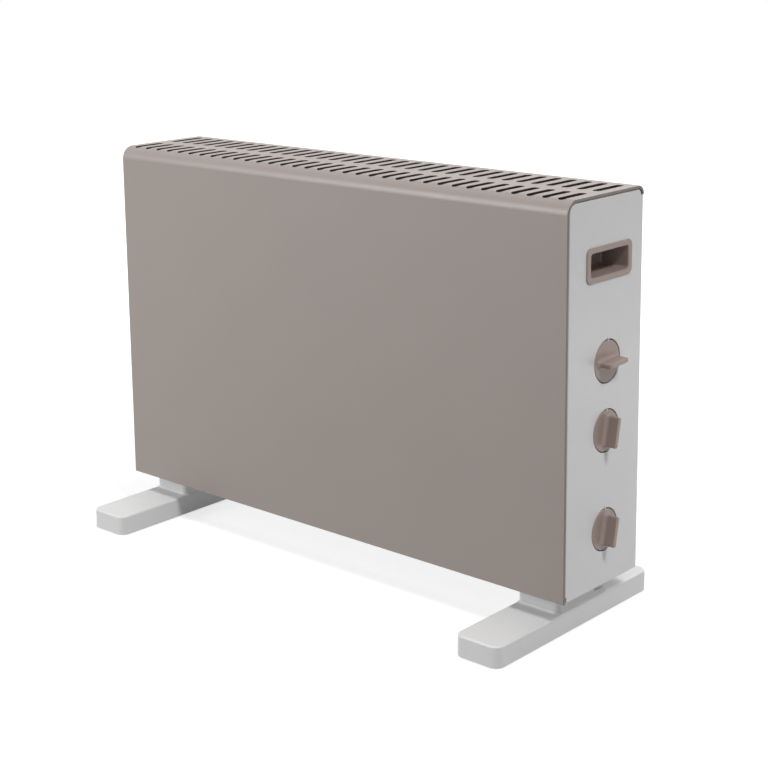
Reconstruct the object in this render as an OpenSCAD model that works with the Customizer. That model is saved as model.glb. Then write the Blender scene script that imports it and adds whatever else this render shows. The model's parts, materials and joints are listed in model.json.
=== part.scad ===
// Free-standing electric convector heater: a wrapped steel cover with a slotted top,
// two end panels with finger recesses, three rotary controls and two moulded feet.
// The case's width runs along X, its front faces -Y, and the feet stand on z = 0.

/* [Case] */
// Width of the case over both side edges
case_w = 600; // [560:1:680]
// Depth of the case, front to rear
case_d = 122; // [112:1:134]
// Height of the case without its feet
case_h = 375; // [365:1:430]
// Thickness of the cover, rear and base sheets
sheet_t = 0.8; // [0.6:0.1:1.2]
// Outer radius of the bend between front and top
front_bend_r = 14; // [10:0.5:18]
// Outer radius of the bend between top and rear
rear_bend_r = 9; // [6:0.5:10]
// Height of the cover's lip below the rear bend
rear_lip_h = 9; // [7:0.5:14]
// Thickness of the folded hem round the cover's side edges
hem_t = 3; // [2.5:0.1:4]
// Length of that hem along the case
hem_l = 8; // [6:0.5:10]

/* [Outlet grille] */
// Distance between neighbouring slots
slot_pitch = 17.3; // [16:0.1:17.4]
// Least distance of a row's cells from the case's sides
slot_side_gap = 5; // [4:0.5:20]
// Width of a slot
slot_w = 8.5; // [6:0.1:9]
// Distance from the front face to the front row's front ends
slot_front_gap = 8.5; // [7:0.5:12]
// Length of the front row's slots
front_slot_l = 38; // [30:0.5:40]
// Width of the bar between the two rows
mid_bar_w = 15; // [12:0.5:18]
// Length of the rear row's slots
rear_slot_l = 44; // [30:0.5:45]
// Depth of the turned-down edge round a slot
collar_h = 5; // [3:0.1:7]
// Wall of that turned-down edge
collar_t = 1; // [0.8:0.1:1.5]

/* [End panels] */
// Thickness of an end panel
panel_t = 2.4; // [2:0.1:3]
// Depth of the panel's face behind the cover's edge
panel_recess = 0.4; // [0.2:0.1:1]
// Gap between panel and hem
panel_gap = 0.3; // [0.2:0.05:0.5]
// Thickness of the panel's flange
panel_flange_t = 1.2; // [1:0.1:2]
// Depth of the panel's flange behind its front and top edges
panel_flange_d = 5; // [4:0.5:6]
// Depth of its lower and rear flanges
panel_tab_d = 10; // [9:0.5:10]

/* [Finger recesses] */
// Width of the recess's frame
grip_frame_w = 72.5; // [68:0.5:80]
// Height of the recess's frame
grip_frame_h = 33; // [30:0.5:38]
// Corner radius of the frame
grip_frame_r = 6; // [4:0.5:8]
// Thickness of the frame on the panel
grip_frame_t = 1.4; // [1:0.1:2]
// Width of the recess inside
grip_w = 60; // [54:0.5:62]
// Height of the recess inside
grip_h = 22; // [20:0.5:24]
// Corner radius of the recess inside
grip_r = 3; // [2:0.5:5]
// Wall of the recess's cup
grip_wall = 2; // [1.5:0.1:2.5]
// Depth of the cup behind the panel's face
grip_depth = 31; // [24:0.5:36]
// Height of the recess's centre above the case's underside
grip_z = 311; // [300:1:320]
// Distance of recess and controls behind the case's middle
side_y = 5; // [0:0.5:8]

/* [Controls] */
// Diameter of the control holes in the right end panel
dial_hole_d = 42; // [38:0.5:44]
// Gap round a knob's disc in its hole
dial_gap = 0.7; // [0.4:0.1:1]
// Height of the upper control above the case's underside
upper_z = 217.5; // [214:0.5:226]
// Height of the middle control
middle_z = 151; // [146:0.5:156]
// Height of the lower control
lower_z = 54.5; // [52:0.5:80]
// Length of a knob's grip
grip_fin_l = 30; // [24:0.5:34]
// Thickness of a knob's grip
grip_fin_t = 6; // [5:0.1:8]
// Reach of the grip in front of the case's side
knob_reach = 13; // [11:0.5:20]
// Diameter of a control's spindle
spindle_d = 6; // [5:0.5:8]
// Running clearance round the spindle
spindle_gap = 0.05; // [0.02:0.01:0.08]
// Diameter of the threaded bush round the spindle
bush_d = 10; // [9.5:0.5:12]
// Width and height of a switch housing
switch_w = 30; // [26:1:36]
// Depth of a switch housing
switch_d = 20; // [16:1:24]
// Width and height of the thermostat's housing
stat_w = 36; // [32:1:40]
// Depth of the thermostat's housing
stat_d = 24; // [20:1:28]

/* [Feet] */
// Height of the feet under the case
foot_h = 42; // [38:1:50]
// Width of a foot
foot_w = 51; // [44:1:56]
// Height of a foot's bar
foot_bar_h = 22; // [20:0.5:26]
// Reach of a foot in front of the case
foot_front = 77; // [60:1:90]
// Reach of a foot behind the case
foot_rear = 47; // [36:1:60]
// Distance of a foot from the case's side
foot_inset = 16; // [15:0.5:24]
// Corner radius of the foot's ends
foot_r = 10; // [6:0.5:14]
// Wall of the foot
foot_wall = 3; // [2.5:0.1:3.5]
// Distance of the saddle behind the case's front
saddle_front = 17; // [15:0.5:24]
// Length of the saddle under the case
saddle_l = 63; // [56:1:74]
// Diameter of a foot screw
foot_screw_d = 5; // [4:0.5:5]
// Diameter of a foot's pad
pad_d = 16; // [12:0.5:18]
// Height of a foot's pad
pad_h = 3; // [2.5:0.1:4]

/* [Heating elements] */
// Width of the bay for terminals, from the right foot's inner side to the element bracket
terminal_bay_w = 36; // [34:1:60]
// Reach of one wing of the section
wing_l = 24; // [18:0.5:26]
// Thickness of a wing
wing_t = 1.8; // [1.4:0.1:2.4]
// Diameter of the sheath tube
sheath_d = 8; // [6.5:0.1:8.5]
// Height of the lower element above the case's underside
low_element_z = 75; // [66:1:80]
// Distance between the two elements
element_pitch = 62; // [58:1:70]

/* [Cord inlet] */
// Diameter of the gland's bore
gland_bore_d = 8; // [7:0.1:9]
// Length of the gland's bore
gland_l = 16; // [12:0.5:20]
// Height of the gland above the case's underside
gland_z = 30; // [24:1:34]

/* [Hidden] */
$fn = 64;

// One overrun serves every cut
over = 1;
side_x = case_w / 2;
half_d = case_d / 2;
panel_x = side_x - panel_recess;
panel_in_x = panel_x - panel_t;
left_end_x = -(panel_x + grip_frame_t);
right_end_x = side_x + knob_reach;
foot_front_y = -half_d - foot_front;
foot_rear_y = half_d + foot_rear;
origin_x = (right_end_x + left_end_x) / 2;
origin_y = (foot_front_y + foot_rear_y) / 2;

// The rear panel slides between the end panels' two rear flanges
rear_gap = 0.2;
rear_out_y = half_d - sheet_t - rear_gap;
rear_in_y = rear_out_y - sheet_t;
rear_edge_gap = 0.5;
rear_w = 2 * (panel_in_x - rear_edge_gap);
rear_top_z = case_h - rear_bend_r - over;

// Slots in a row of the outlet grille
slot_count = floor((case_w - 2 * slot_side_gap) / slot_pitch);

// The feet's inner sides
foot_in_x = side_x - foot_inset - foot_w;

// Air inlet slots in the base and the rear panel
inlet_l = 70;
inlet_foot_gap = 20;
inlet_count = floor(2 * (foot_in_x - inlet_foot_gap) / slot_pitch);
rear_inlet_l = 44;
rear_inlet_z = 66;
rear_inlet_w = 6;

// The base plate's turned-up edges
base_flange_h = 14;
base_flange_l = 2 * (panel_in_x - panel_tab_d);

// Screw sizes: shank, head and pilot clearance
screw_d = 3.5;
screw_head_d = 7;
screw_head_h = 1.6;
screw_l = 7;
screw_gap = 0.05;
screw_hole_d = screw_d + 2 * screw_gap;
// Screws of the rear panel along the lip and the base plate's flange, and of the end panels
rear_screw_shares = [-0.42, -0.14, 0.14, 0.42];
lip_screw_z = case_h - rear_bend_r - rear_lip_h / 2;
base_screw_z = sheet_t + base_flange_h / 2;
end_screw_x = panel_in_x - panel_tab_d / 2;
end_screw_share = 0.28;
foot_hole_d = foot_screw_d + 2 * screw_gap;

// Knob pieces: disc, skirt, hub and blind spindle hole
disc_face = 0.6;
disc_depth = 10;
disc_wall = 1.8;
disc_edge_r = 1.2;
hub_d = 13;
hub_hole_l = 9;
fin_edge_r = 2.2;
mark_d = 1.8;
mark_depth = 0.8;
mark_inset = 4;
fin_top = disc_depth + disc_face + knob_reach;
// Turn of each grip about its spindle at rest
upper_turn = -87;
middle_turn = -12;
lower_turn = -12;

// The control bracket stands behind the knobs' discs
disc_back_x = side_x - disc_face - disc_depth;
nut_h = 3;
nut_af = 14;
nut_room = 0.4;
bracket_x = disc_back_x - nut_room - nut_h;
bracket_t = 1.5;
bracket_w = 50;
bracket_head = 22;
bracket_flange_l = 14;
bracket_foot_w = 2 * (rear_in_y - sheet_t - rear_gap);
housing_x = bracket_x - bracket_t;
housing_r = 2;
control_screw_points = [for (s = [-1, 1])
    [housing_x - bracket_flange_l / 2, s * (half_d - saddle_front / 2)]];
bush_gap = 0.1;
spindle_in = 12;
terminal_w = 6.3;
terminal_pitch = 10;
terminal_t = 0.8;
terminal_l = 8;

// The feet's saddle, its step behind, screw wells and pads
saddle_inset = 1.5;
saddle_r = 6;
foot_rim = 1;
step_l = 15;
step_h = 4;
step_w = foot_w - 2 * saddle_inset;
boss_d = 14;
well_d = 10.4;
foot_head_d = 9.4;
foot_head_h = 2.6;
saddle_top_t = 4;
foot_nut_af = 8;
foot_nut_h = 3.6;
foot_screw_share = [0.24, 0.76];
pad_boss_d = pad_d + 2 * foot_wall;
pad_gap = 0.1;
pad_pocket = pad_h - foot_rim;
pad_edge = 6;
foot_x = side_x - foot_inset - foot_w / 2;
saddle_y = -half_d + saddle_front;
foot_screw_y = [for (s = foot_screw_share) saddle_y + s * saddle_l];
pad_end = foot_wall + pad_edge + pad_d / 2;
pad_y = [foot_front_y + pad_end, foot_rear_y - pad_end];

// Element supports and the parts that they carry
partition_t = 1.2;
tail_l = 16;
bush_flange_d = 18;
bush_neck_d = 14;
bush_flange_t = 2.5;
bush_out_l = 6;
element_y = 0;
element_gap = 2;
bracket_clear = 1;
left_partition_x = bracket_clear - foot_in_x;
right_partition_x = foot_in_x - terminal_bay_w;
element_mid_x = (left_partition_x + right_partition_x) / 2;
element_x = (right_partition_x - left_partition_x) / 2 - element_gap - bush_flange_t;
element_l = 2 * element_x;
partition_w = 84;
partition_top = 40;
bracket_top_z = low_element_z + element_pitch + partition_top;
foot_tab = 16;
tab_screw_share = 0.33;
tab_screw_points = [for (side = [-1, 1], s = [-1, 1])
    [partition_x(side) - side * foot_tab / 2, s * tab_screw_share * partition_w]];
shield_y = -half_d + 14;
shield_h = 180;
shield_t = 0.8;
shield_tab = 12;
cutout_d = 16;
cutout_h = 9;
cutout_ear_l = 26;
cutout_ear_h = 10;
cutout_ear_t = 1;
block_l = 34;
block_w = 18;
block_h = 15;
block_gap = 3;
block_ways = 3;
block_bore_d = 3.2;

// Cord gland in the rear panel
gland_body_d = 14;
gland_flange_d = 20;
gland_flange_t = 3;
gland_nut_af = 19;
gland_nut_t = 4;
gland_gap = 0.2;
gland_x = (housing_x + right_partition_x) / 2;

// Faces where the element brackets stand: -1 is the left one and 1 the right one
function partition_x(side) = side < 0 ? left_partition_x : right_partition_x;
function slot_x(i) = (i - (slot_count - 1) / 2) * slot_pitch;
function inlet_x(i) = (i - (inlet_count - 1) / 2) * slot_pitch;

cover_paint = [0.59, 0.55, 0.52];
panel_paint = [0.72, 0.72, 0.72];
foot_white = [0.86, 0.86, 0.86];
knob_taupe = [0.53, 0.47, 0.44];
zinc = [0.70, 0.71, 0.73];
element_grey = [0.62, 0.63, 0.64];
ceramic_white = [0.90, 0.88, 0.83];
housing_black = [0.13, 0.13, 0.14];

// Moves the case's own frame to the part's origin
module place() {
    translate([-origin_x, -origin_y, 0])
        children();
}

// As place(), with the height counted from the case's underside
module place_case() {
    translate([-origin_x, -origin_y, foot_h])
        children();
}

// Extrudes a drawing of the YZ plane along X
module along_x(x, length) {
    translate([x, 0, 0])
        rotate([90, 0, 90])
            linear_extrude(length)
                children();
}

// Mirrored copy on both sides of the case
module both_ends() {
    children();
    mirror([1, 0, 0])
        children();
}

// Rod along +X from a point
module rod_x(point, d, length) {
    translate(point)
        rotate([0, 90, 0])
            cylinder(d = d, h = length);
}

// Rod along +Y from a point
module rod_y(point, d, length) {
    translate(point)
        rotate([-90, 0, 0])
            cylinder(d = d, h = length);
}

// Drawing of a rectangle with round corners, centred
module round_rect(w, h, r) {
    square([w - 2 * r, h], center = true);
    square([w, h - 2 * r], center = true);
    for (x = [-1, 1], y = [-1, 1])
        translate([x * (w / 2 - r), y * (h / 2 - r)])
            circle(r = r);
}

// Drawing of a slot from y0 towards +Y, along the Y axis
module slot_shape(w, y0, length) {
    translate([-w / 2, y0 + w / 2])
        square([w, length - w]);
    for (y = [y0 + w / 2, y0 + length - w / 2])
        translate([0, y])
            circle(d = w);
}

// Drawing of the case's side, drawn in by inset and starting at height base
module case_outline(inset, base) {
    translate([-half_d + inset, base])
        square([case_d - 2 * inset, case_h - front_bend_r - base]);
    translate([0, base])
        square([half_d - inset, case_h - rear_bend_r - base]);
    translate([-half_d + front_bend_r, base])
        square([case_d - front_bend_r - rear_bend_r, case_h - inset - base]);
    translate([-half_d + front_bend_r, case_h - front_bend_r])
        circle(r = front_bend_r - inset);
    translate([half_d - rear_bend_r, case_h - rear_bend_r])
        circle(r = rear_bend_r - inset);
}

// Both rows of outlet slots as upright prisms, grown by wall, from z0 up
module outlet_slots(wall, z0, height) {
    y1 = -half_d + slot_front_gap - wall;
    y2 = -half_d + slot_front_gap + front_slot_l + mid_bar_w - wall;
    for (i = [0 : slot_count - 1])
        translate([slot_x(i), 0, z0])
            linear_extrude(height) {
                slot_shape(slot_w + 2 * wall, y1, front_slot_l + 2 * wall);
                slot_shape(slot_w + 2 * wall, y2, rear_slot_l + 2 * wall);
            }
}

// Front, top and rear bend of one bent sheet, with a hem round its side edges
module front_cover() {
    low_z = case_h - rear_bend_r - rear_lip_h;
    slot_base = case_h - front_bend_r - collar_h;
    color(cover_paint)
        place_case()
            difference() {
                union() {
                    along_x(-side_x, case_w)
                        difference() {
                            case_outline(0, 0);
                            case_outline(sheet_t, -over);
                            translate([half_d - rear_bend_r, -over])
                                square([rear_bend_r + over, low_z + over]);
                        }
                    both_ends()
                        along_x(side_x - hem_l, hem_l)
                            difference() {
                                case_outline(0, 0);
                                case_outline(hem_t, -over);
                                translate([half_d - rear_bend_r, -over])
                                    square([rear_bend_r + over, case_h - rear_bend_r + over]);
                            }
                    intersection() {
                        outlet_slots(collar_t, case_h - sheet_t - collar_h, collar_h + sheet_t);
                        along_x(-side_x, case_w)
                            case_outline(sheet_t / 2, 0);
                    }
                }
                outlet_slots(0, slot_base, case_h - slot_base + over);
                // The rear lip stops short of the end panels' rear flanges
                both_ends()
                    translate([panel_in_x - panel_tab_d, half_d - rear_bend_r, low_z - over])
                        cube([panel_tab_d + hem_l + over, rear_bend_r + over, rear_lip_h + over]);
                rear_top_screw_cuts();
            }
}

// Holes in the rear lip for the rear panel's upper screws
module rear_top_screw_cuts() {
    for (s = rear_screw_shares)
        rod_y([s * case_w, half_d - rear_bend_r, lip_screw_z], screw_hole_d, rear_bend_r + over);
}

// Flat rear sheet with a row of inlet slots, held under the lip and by the end panels
module rear_panel() {
    cut_l = sheet_t + 2 * over;
    color(cover_paint)
        place_case()
            difference() {
                translate([-rear_w / 2, rear_in_y, sheet_t])
                    cube([rear_w, sheet_t, rear_top_z - sheet_t]);
                for (i = [0 : inlet_count - 1])
                    translate([inlet_x(i), rear_out_y + over, 0])
                        rotate([90, 0, 0])
                            linear_extrude(cut_l)
                                slot_shape(rear_inlet_w, rear_inlet_z, rear_inlet_l);
                for (s = rear_screw_shares, z = [lip_screw_z, base_screw_z])
                    rod_y([s * case_w, rear_in_y - over, z], screw_hole_d, cut_l);
                rod_y([gland_x, rear_in_y - over, gland_z], gland_body_d + 2 * gland_gap, cut_l);
            }
}

// Bottom tray with turned-up front and rear edges and a field of inlet slots
module base_plate() {
    cut_l = sheet_t + 2 * over;
    color(zinc)
        place_case()
            difference() {
                union() {
                    translate([-panel_in_x, -half_d + hem_t + panel_gap, 0])
                        cube([2 * panel_in_x, case_d - 2 * (hem_t + panel_gap), sheet_t]);
                    translate([-base_flange_l / 2, -half_d + sheet_t, 0])
                        cube([base_flange_l, rear_out_y + half_d - sheet_t, sheet_t]);
                    translate([-base_flange_l / 2, -half_d + sheet_t, 0])
                        cube([base_flange_l, sheet_t, base_flange_h]);
                    translate([-base_flange_l / 2, rear_in_y - sheet_t, 0])
                        cube([base_flange_l, sheet_t, base_flange_h]);
                }
                for (i = [0 : inlet_count - 1])
                    translate([inlet_x(i), 0, -over])
                        linear_extrude(cut_l)
                            slot_shape(slot_w, -inlet_l / 2, inlet_l);
                for (s = rear_screw_shares)
                    rod_y([s * case_w, rear_in_y - sheet_t - over, base_screw_z], screw_hole_d, cut_l);
                both_ends()
                    for (y = foot_screw_y)
                        translate([foot_x, y, -over])
                            cylinder(d = foot_hole_d, h = cut_l);
                both_ends()
                    end_screw_rods(-over, screw_hole_d, cut_l);
                base_tab_holes();
            }
}

// Rods at the places of one end panel's screws
module end_screw_rods(z, d, length) {
    for (s = [-1, 1])
        translate([end_screw_x, s * end_screw_share * case_d, z])
            cylinder(d = d, h = length);
}

// Pilot holes for the screws of the brackets' feet
module base_tab_holes() {
    for (p = concat(tab_screw_points, control_screw_points))
        translate([p[0], p[1], -over])
            cylinder(d = screw_hole_d, h = sheet_t + 2 * over);
}

// End panel of one side: a face with a flange round its edge, a tab along the base plate
// and a strip over the rear edge
module end_panel_blank() {
    strip_top = case_h - rear_bend_r - panel_gap;
    inset = hem_t + panel_gap;
    tab_x = panel_in_x - panel_tab_d;
    cup_room = grip_wall + panel_gap;
    difference() {
        union() {
            along_x(panel_in_x, panel_t) {
                case_outline(inset, 0);
                square([half_d, strip_top]);
            }
            along_x(panel_in_x - panel_flange_d, panel_flange_d + over)
                difference() {
                    case_outline(inset, sheet_t);
                    case_outline(inset + panel_flange_t, sheet_t + panel_flange_t);
                }
            translate([tab_x, -half_d + inset + panel_flange_t, sheet_t])
                cube([panel_tab_d + over, case_d - 2 * (inset + panel_flange_t), panel_flange_t]);
            translate([tab_x, half_d - sheet_t, 0])
                cube([panel_tab_d + over, sheet_t, strip_top]);
        }
        translate([0, side_y, grip_z])
            along_x(panel_in_x - over, panel_t + 2 * over)
                round_rect(grip_w + 2 * cup_room, grip_h + 2 * cup_room, grip_r + grip_wall);
        end_screw_rods(0, screw_hole_d, sheet_t + panel_flange_t + over);
    }
}

module right_end_panel() {
    color(panel_paint)
        place_case()
            difference() {
                end_panel_blank();
                for (z = [upper_z, middle_z, lower_z])
                    rod_x([panel_in_x - over, side_y, z], dial_hole_d, panel_t + 2 * over);
            }
}

module left_end_panel() {
    color(panel_paint)
        place_case()
            mirror([1, 0, 0])
                end_panel_blank();
}

// Finger recess: a frame on the panel and a closed cup behind it
module grip_cup() {
    back_x = panel_x - grip_depth;
    translate([0, side_y, grip_z])
        difference() {
            union() {
                along_x(panel_x, grip_frame_t)
                    round_rect(grip_frame_w, grip_frame_h, grip_frame_r);
                along_x(back_x, grip_depth + grip_frame_t / 2)
                    round_rect(grip_w + 2 * grip_wall, grip_h + 2 * grip_wall, grip_r + grip_wall);
            }
            along_x(back_x + grip_wall, grip_depth + grip_frame_t + over)
                round_rect(grip_w, grip_h, grip_r);
        }
}

module right_grip_cup() {
    color(knob_taupe)
        place_case()
            grip_cup();
}

module left_grip_cup() {
    color(knob_taupe)
        place_case()
            mirror([1, 0, 0])
                grip_cup();
}

// Drawing of a knob's hollow disc with a hub, turned about its spindle
module disc_profile() {
    r = dial_hole_d / 2 - dial_gap;
    difference() {
        union() {
            square([r, disc_depth - disc_edge_r]);
            square([r - disc_edge_r, disc_depth]);
            translate([r - disc_edge_r, disc_depth - disc_edge_r])
                circle(r = disc_edge_r);
        }
        translate([hub_d / 2, -over])
            square([r - disc_wall - hub_d / 2, disc_depth - disc_wall + over]);
        translate([0, -over])
            square([spindle_d / 2 + spindle_gap, hub_hole_l + over]);
    }
}

// Flat grip across the disc: a plate with round outer corners and a round outer edge
module knob_fin() {
    fin_h = fin_top - disc_depth + disc_wall / 2;
    intersection() {
        translate([0, grip_fin_t / 2, 0])
            rotate([90, 0, 0])
                linear_extrude(grip_fin_t)
                    fin_outline(grip_fin_l, fin_h);
        translate([-grip_fin_l / 2, 0, 0])
            rotate([90, 0, 90])
                linear_extrude(grip_fin_l)
                    fin_outline(grip_fin_t, fin_h);
    }
}

// Drawing of a plate standing on y = 0 with two round upper corners
module fin_outline(w, h) {
    translate([-w / 2, 0])
        square([w, h - fin_edge_r]);
    translate([-w / 2 + fin_edge_r, 0])
        square([w - 2 * fin_edge_r, h]);
    for (s = [-1, 1])
        translate([s * (w / 2 - fin_edge_r), h - fin_edge_r])
            circle(r = fin_edge_r);
}

// Whole knob at a control's height; a turn of 0 has its grip upright and its pit at the bottom
module knob(z, turn) {
    color(knob_taupe)
        place_case()
            translate([disc_back_x, side_y, z])
                rotate([turn, 0, 0])
                    rotate([0, 90, 0])
                        difference() {
                            union() {
                                rotate_extrude()
                                    disc_profile();
                                translate([0, 0, disc_depth - disc_wall / 2])
                                    knob_fin();
                            }
                            translate([grip_fin_l / 2 - mark_inset, 0, fin_top - mark_depth])
                                cylinder(d = mark_d, h = mark_depth + over);
                        }
}

module upper_knob() {
    knob(upper_z, upper_turn);
}

module middle_knob() {
    knob(middle_z, middle_turn);
}

module thermostat_knob() {
    knob(lower_z, lower_turn);
}

// Spindle from inside a housing to the knob's blind hole
module spindle(z) {
    x0 = housing_x - spindle_in;
    color(zinc)
        place_case()
            rod_x([x0, side_y, z], spindle_d, disc_back_x + hub_hole_l - spindle_gap - x0);
}

module upper_spindle() {
    spindle(upper_z);
}

module middle_spindle() {
    spindle(middle_z);
}

module thermostat_spindle() {
    spindle(lower_z);
}

// Housing behind the bracket, with a bush through it and terminals at the back
module control_housing(z, w, depth, tags) {
    bush_l = bracket_t + nut_h;
    bore_l = spindle_in + spindle_gap;
    color(housing_black)
        place_case()
            translate([housing_x, side_y, z])
                difference() {
                    union() {
                        along_x(-depth, depth)
                            round_rect(w, w, housing_r);
                        rod_x([-over, 0, 0], bush_d, bush_l + over);
                        for (k = [(1 - tags) / 2 : (tags - 1) / 2])
                            translate([-depth - terminal_l, -terminal_w / 2, k * terminal_pitch])
                                cube([terminal_l + over, terminal_w, terminal_t]);
                    }
                    rod_x([-bore_l, 0, 0], spindle_d + 2 * spindle_gap, bore_l + bush_l + over);
                }
}

module upper_switch() {
    control_housing(upper_z, switch_w, switch_d, 2);
}

module middle_switch() {
    control_housing(middle_z, switch_w, switch_d, 2);
}

module thermostat() {
    control_housing(lower_z, stat_w, stat_d, 3);
}

// Upright plate that carries the three controls, with a foot on the base plate
module control_bracket() {
    top = upper_z + bracket_head;
    color(zinc)
        place_case()
            difference() {
                union() {
                    translate([housing_x, side_y - bracket_w / 2, sheet_t])
                        cube([bracket_t, bracket_w, top - sheet_t]);
                    translate([housing_x - bracket_flange_l, -bracket_foot_w / 2, sheet_t])
                        cube([bracket_flange_l + bracket_t, bracket_foot_w, bracket_t]);
                }
                for (z = [upper_z, middle_z, lower_z])
                    rod_x([housing_x - over, side_y, z], bush_d + 2 * bush_gap, bracket_t + 2 * over);
                for (p = control_screw_points)
                    translate([p[0], p[1], 0])
                        cylinder(d = screw_hole_d, h = sheet_t + bracket_t + over);
            }
}

// Hexagon nuts that clamp the three bushes to the bracket
module control_nuts() {
    color(zinc)
        place_case()
            for (z = [upper_z, middle_z, lower_z])
                translate([bracket_x, side_y, z])
                    difference() {
                        rotate([0, 90, 0])
                            cylinder(d = nut_af / cos(30), h = nut_h, $fn = 6);
                        rod_x([-over, 0, 0], bush_d + 2 * spindle_gap, nut_h + 2 * over);
                    }
}

// Heating element: four wings round a sheath tube whose ends pass through the bushes
module element(z) {
    tube_l = element_l + 2 * tail_l;
    color(element_grey)
        place_case()
            translate([element_mid_x, element_y, z]) {
                along_x(-element_x, element_l) {
                    for (a = [30, 150])
                        rotate(a)
                            square([2 * wing_l, wing_t], center = true);
                    circle(d = sheath_d + 2 * wing_t);
                }
                rod_x([-tube_l / 2, 0, 0], sheath_d, tube_l);
            }
}

module lower_element() {
    element(low_element_z);
}

module upper_element() {
    element(low_element_z + element_pitch);
}

// Upright bracket on the base plate, with a tab under the elements: side -1 stands left of
// the elements and 1 right of them
module element_bracket(side) {
    wall_x = partition_x(side) + min(0, side * partition_t);
    tab_x = partition_x(side) - max(0, side * foot_tab);
    neck_hole_d = bush_neck_d + 2 * bush_gap;
    color(zinc)
        place_case()
            difference() {
                union() {
                    translate([wall_x, -partition_w / 2, sheet_t])
                        cube([partition_t, partition_w, bracket_top_z - sheet_t]);
                    translate([tab_x, -partition_w / 2, sheet_t])
                        cube([foot_tab, partition_w, partition_t]);
                }
                for (z = [low_element_z, low_element_z + element_pitch])
                    rod_x([wall_x - over, element_y, z], neck_hole_d, partition_t + 2 * over);
                for (p = tab_screw_points)
                    translate([p[0], p[1], 0])
                        cylinder(d = screw_hole_d, h = sheet_t + partition_t + over);
            }
}

module left_element_bracket() {
    element_bracket(-1);
}

module right_element_bracket() {
    element_bracket(1);
}

// Ceramic bushes that carry the sheath tubes in the brackets
module element_bushes() {
    neck_l = partition_t + bush_out_l;
    bore_d = sheath_d + 2 * spindle_gap;
    color(ceramic_white)
        place_case()
            for (side = [-1, 1], z = [low_element_z, low_element_z + element_pitch])
                translate([partition_x(side), element_y, z])
                    rotate([0, side * 90, 0])
                        difference() {
                            union() {
                                translate([0, 0, -bush_flange_t])
                                    cylinder(d = bush_flange_d, h = bush_flange_t);
                                cylinder(d = bush_neck_d, h = neck_l);
                            }
                            translate([0, 0, -bush_flange_t - over])
                                cylinder(d = bore_d, h = bush_flange_t + neck_l + 2 * over);
                        }
}

// Bright sheet between the elements and the front, with a tab along the base plate
module front_heat_shield() {
    x0 = partition_x(-1) + sheet_t;
    length = partition_x(1) - sheet_t - x0;
    color(zinc)
        place_case() {
            translate([x0, shield_y, sheet_t])
                cube([length, shield_t, shield_h]);
            translate([x0, shield_y - shield_tab + shield_t, sheet_t])
                cube([length, shield_tab, shield_t]);
        }
}

// Bimetal cut-out with two ears, on the left bracket above the elements
module thermal_cutout() {
    color(housing_black)
        place_case()
            translate([partition_x(-1), element_y, bracket_top_z - cutout_ear_h]) {
                rod_x([0, 0, 0], cutout_d, cutout_h);
                translate([0, -cutout_ear_l / 2, -cutout_ear_h / 2])
                    cube([cutout_ear_t, cutout_ear_l, cutout_ear_h]);
            }
}

// Terminal block on the base plate, between the bracket and the controls
module terminal_block() {
    x0 = right_partition_x + partition_t + block_gap;
    y0 = rear_in_y - sheet_t - gland_l - block_l;
    way = block_l / block_ways;
    color(ceramic_white)
        place_case()
            difference() {
                translate([x0, y0, sheet_t])
                    cube([block_w, block_l, block_h]);
                for (y = [y0 + way / 2 : way : y0 + block_l])
                    rod_x([x0 - over, y, sheet_t + block_h / 2], block_bore_d, block_w + 2 * over);
            }
}

// Gland for the supply cord: flange outside, body through the rear panel
module cord_gland() {
    color(housing_black)
        place_case()
            translate([gland_x, rear_out_y, gland_z])
                difference() {
                    union() {
                        rod_y([0, 0, 0], gland_flange_d, gland_flange_t);
                        rod_y([0, gland_flange_t - gland_l, 0], gland_body_d, gland_l);
                    }
                    rod_y([0, gland_flange_t - gland_l - over, 0], gland_bore_d, gland_l + 2 * over);
                }
}

// Nut that clamps the gland from inside the rear panel
module gland_nut() {
    color(housing_black)
        place_case()
            translate([gland_x, rear_in_y - gland_nut_t, gland_z])
                difference() {
                    rotate([-90, 0, 0])
                        cylinder(d = gland_nut_af / cos(30), h = gland_nut_t, $fn = 6);
                    rod_y([0, -over, 0], gland_body_d + 2 * spindle_gap, gland_nut_t + 2 * over);
                }
}

// Drawing of the foot's bar from above, drawn in by inset
module foot_outline(inset) {
    l = foot_rear_y - foot_front_y;
    translate([foot_x, (foot_front_y + foot_rear_y) / 2])
        round_rect(foot_w - 2 * inset, l - 2 * inset, foot_r - inset);
}

// Drawing of the saddle from above, drawn in by inset
module saddle_outline(inset) {
    translate([foot_x, saddle_y + saddle_l / 2])
        round_rect(foot_w - 2 * (saddle_inset + inset), saddle_l - 2 * inset, saddle_r - inset);
}

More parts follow.
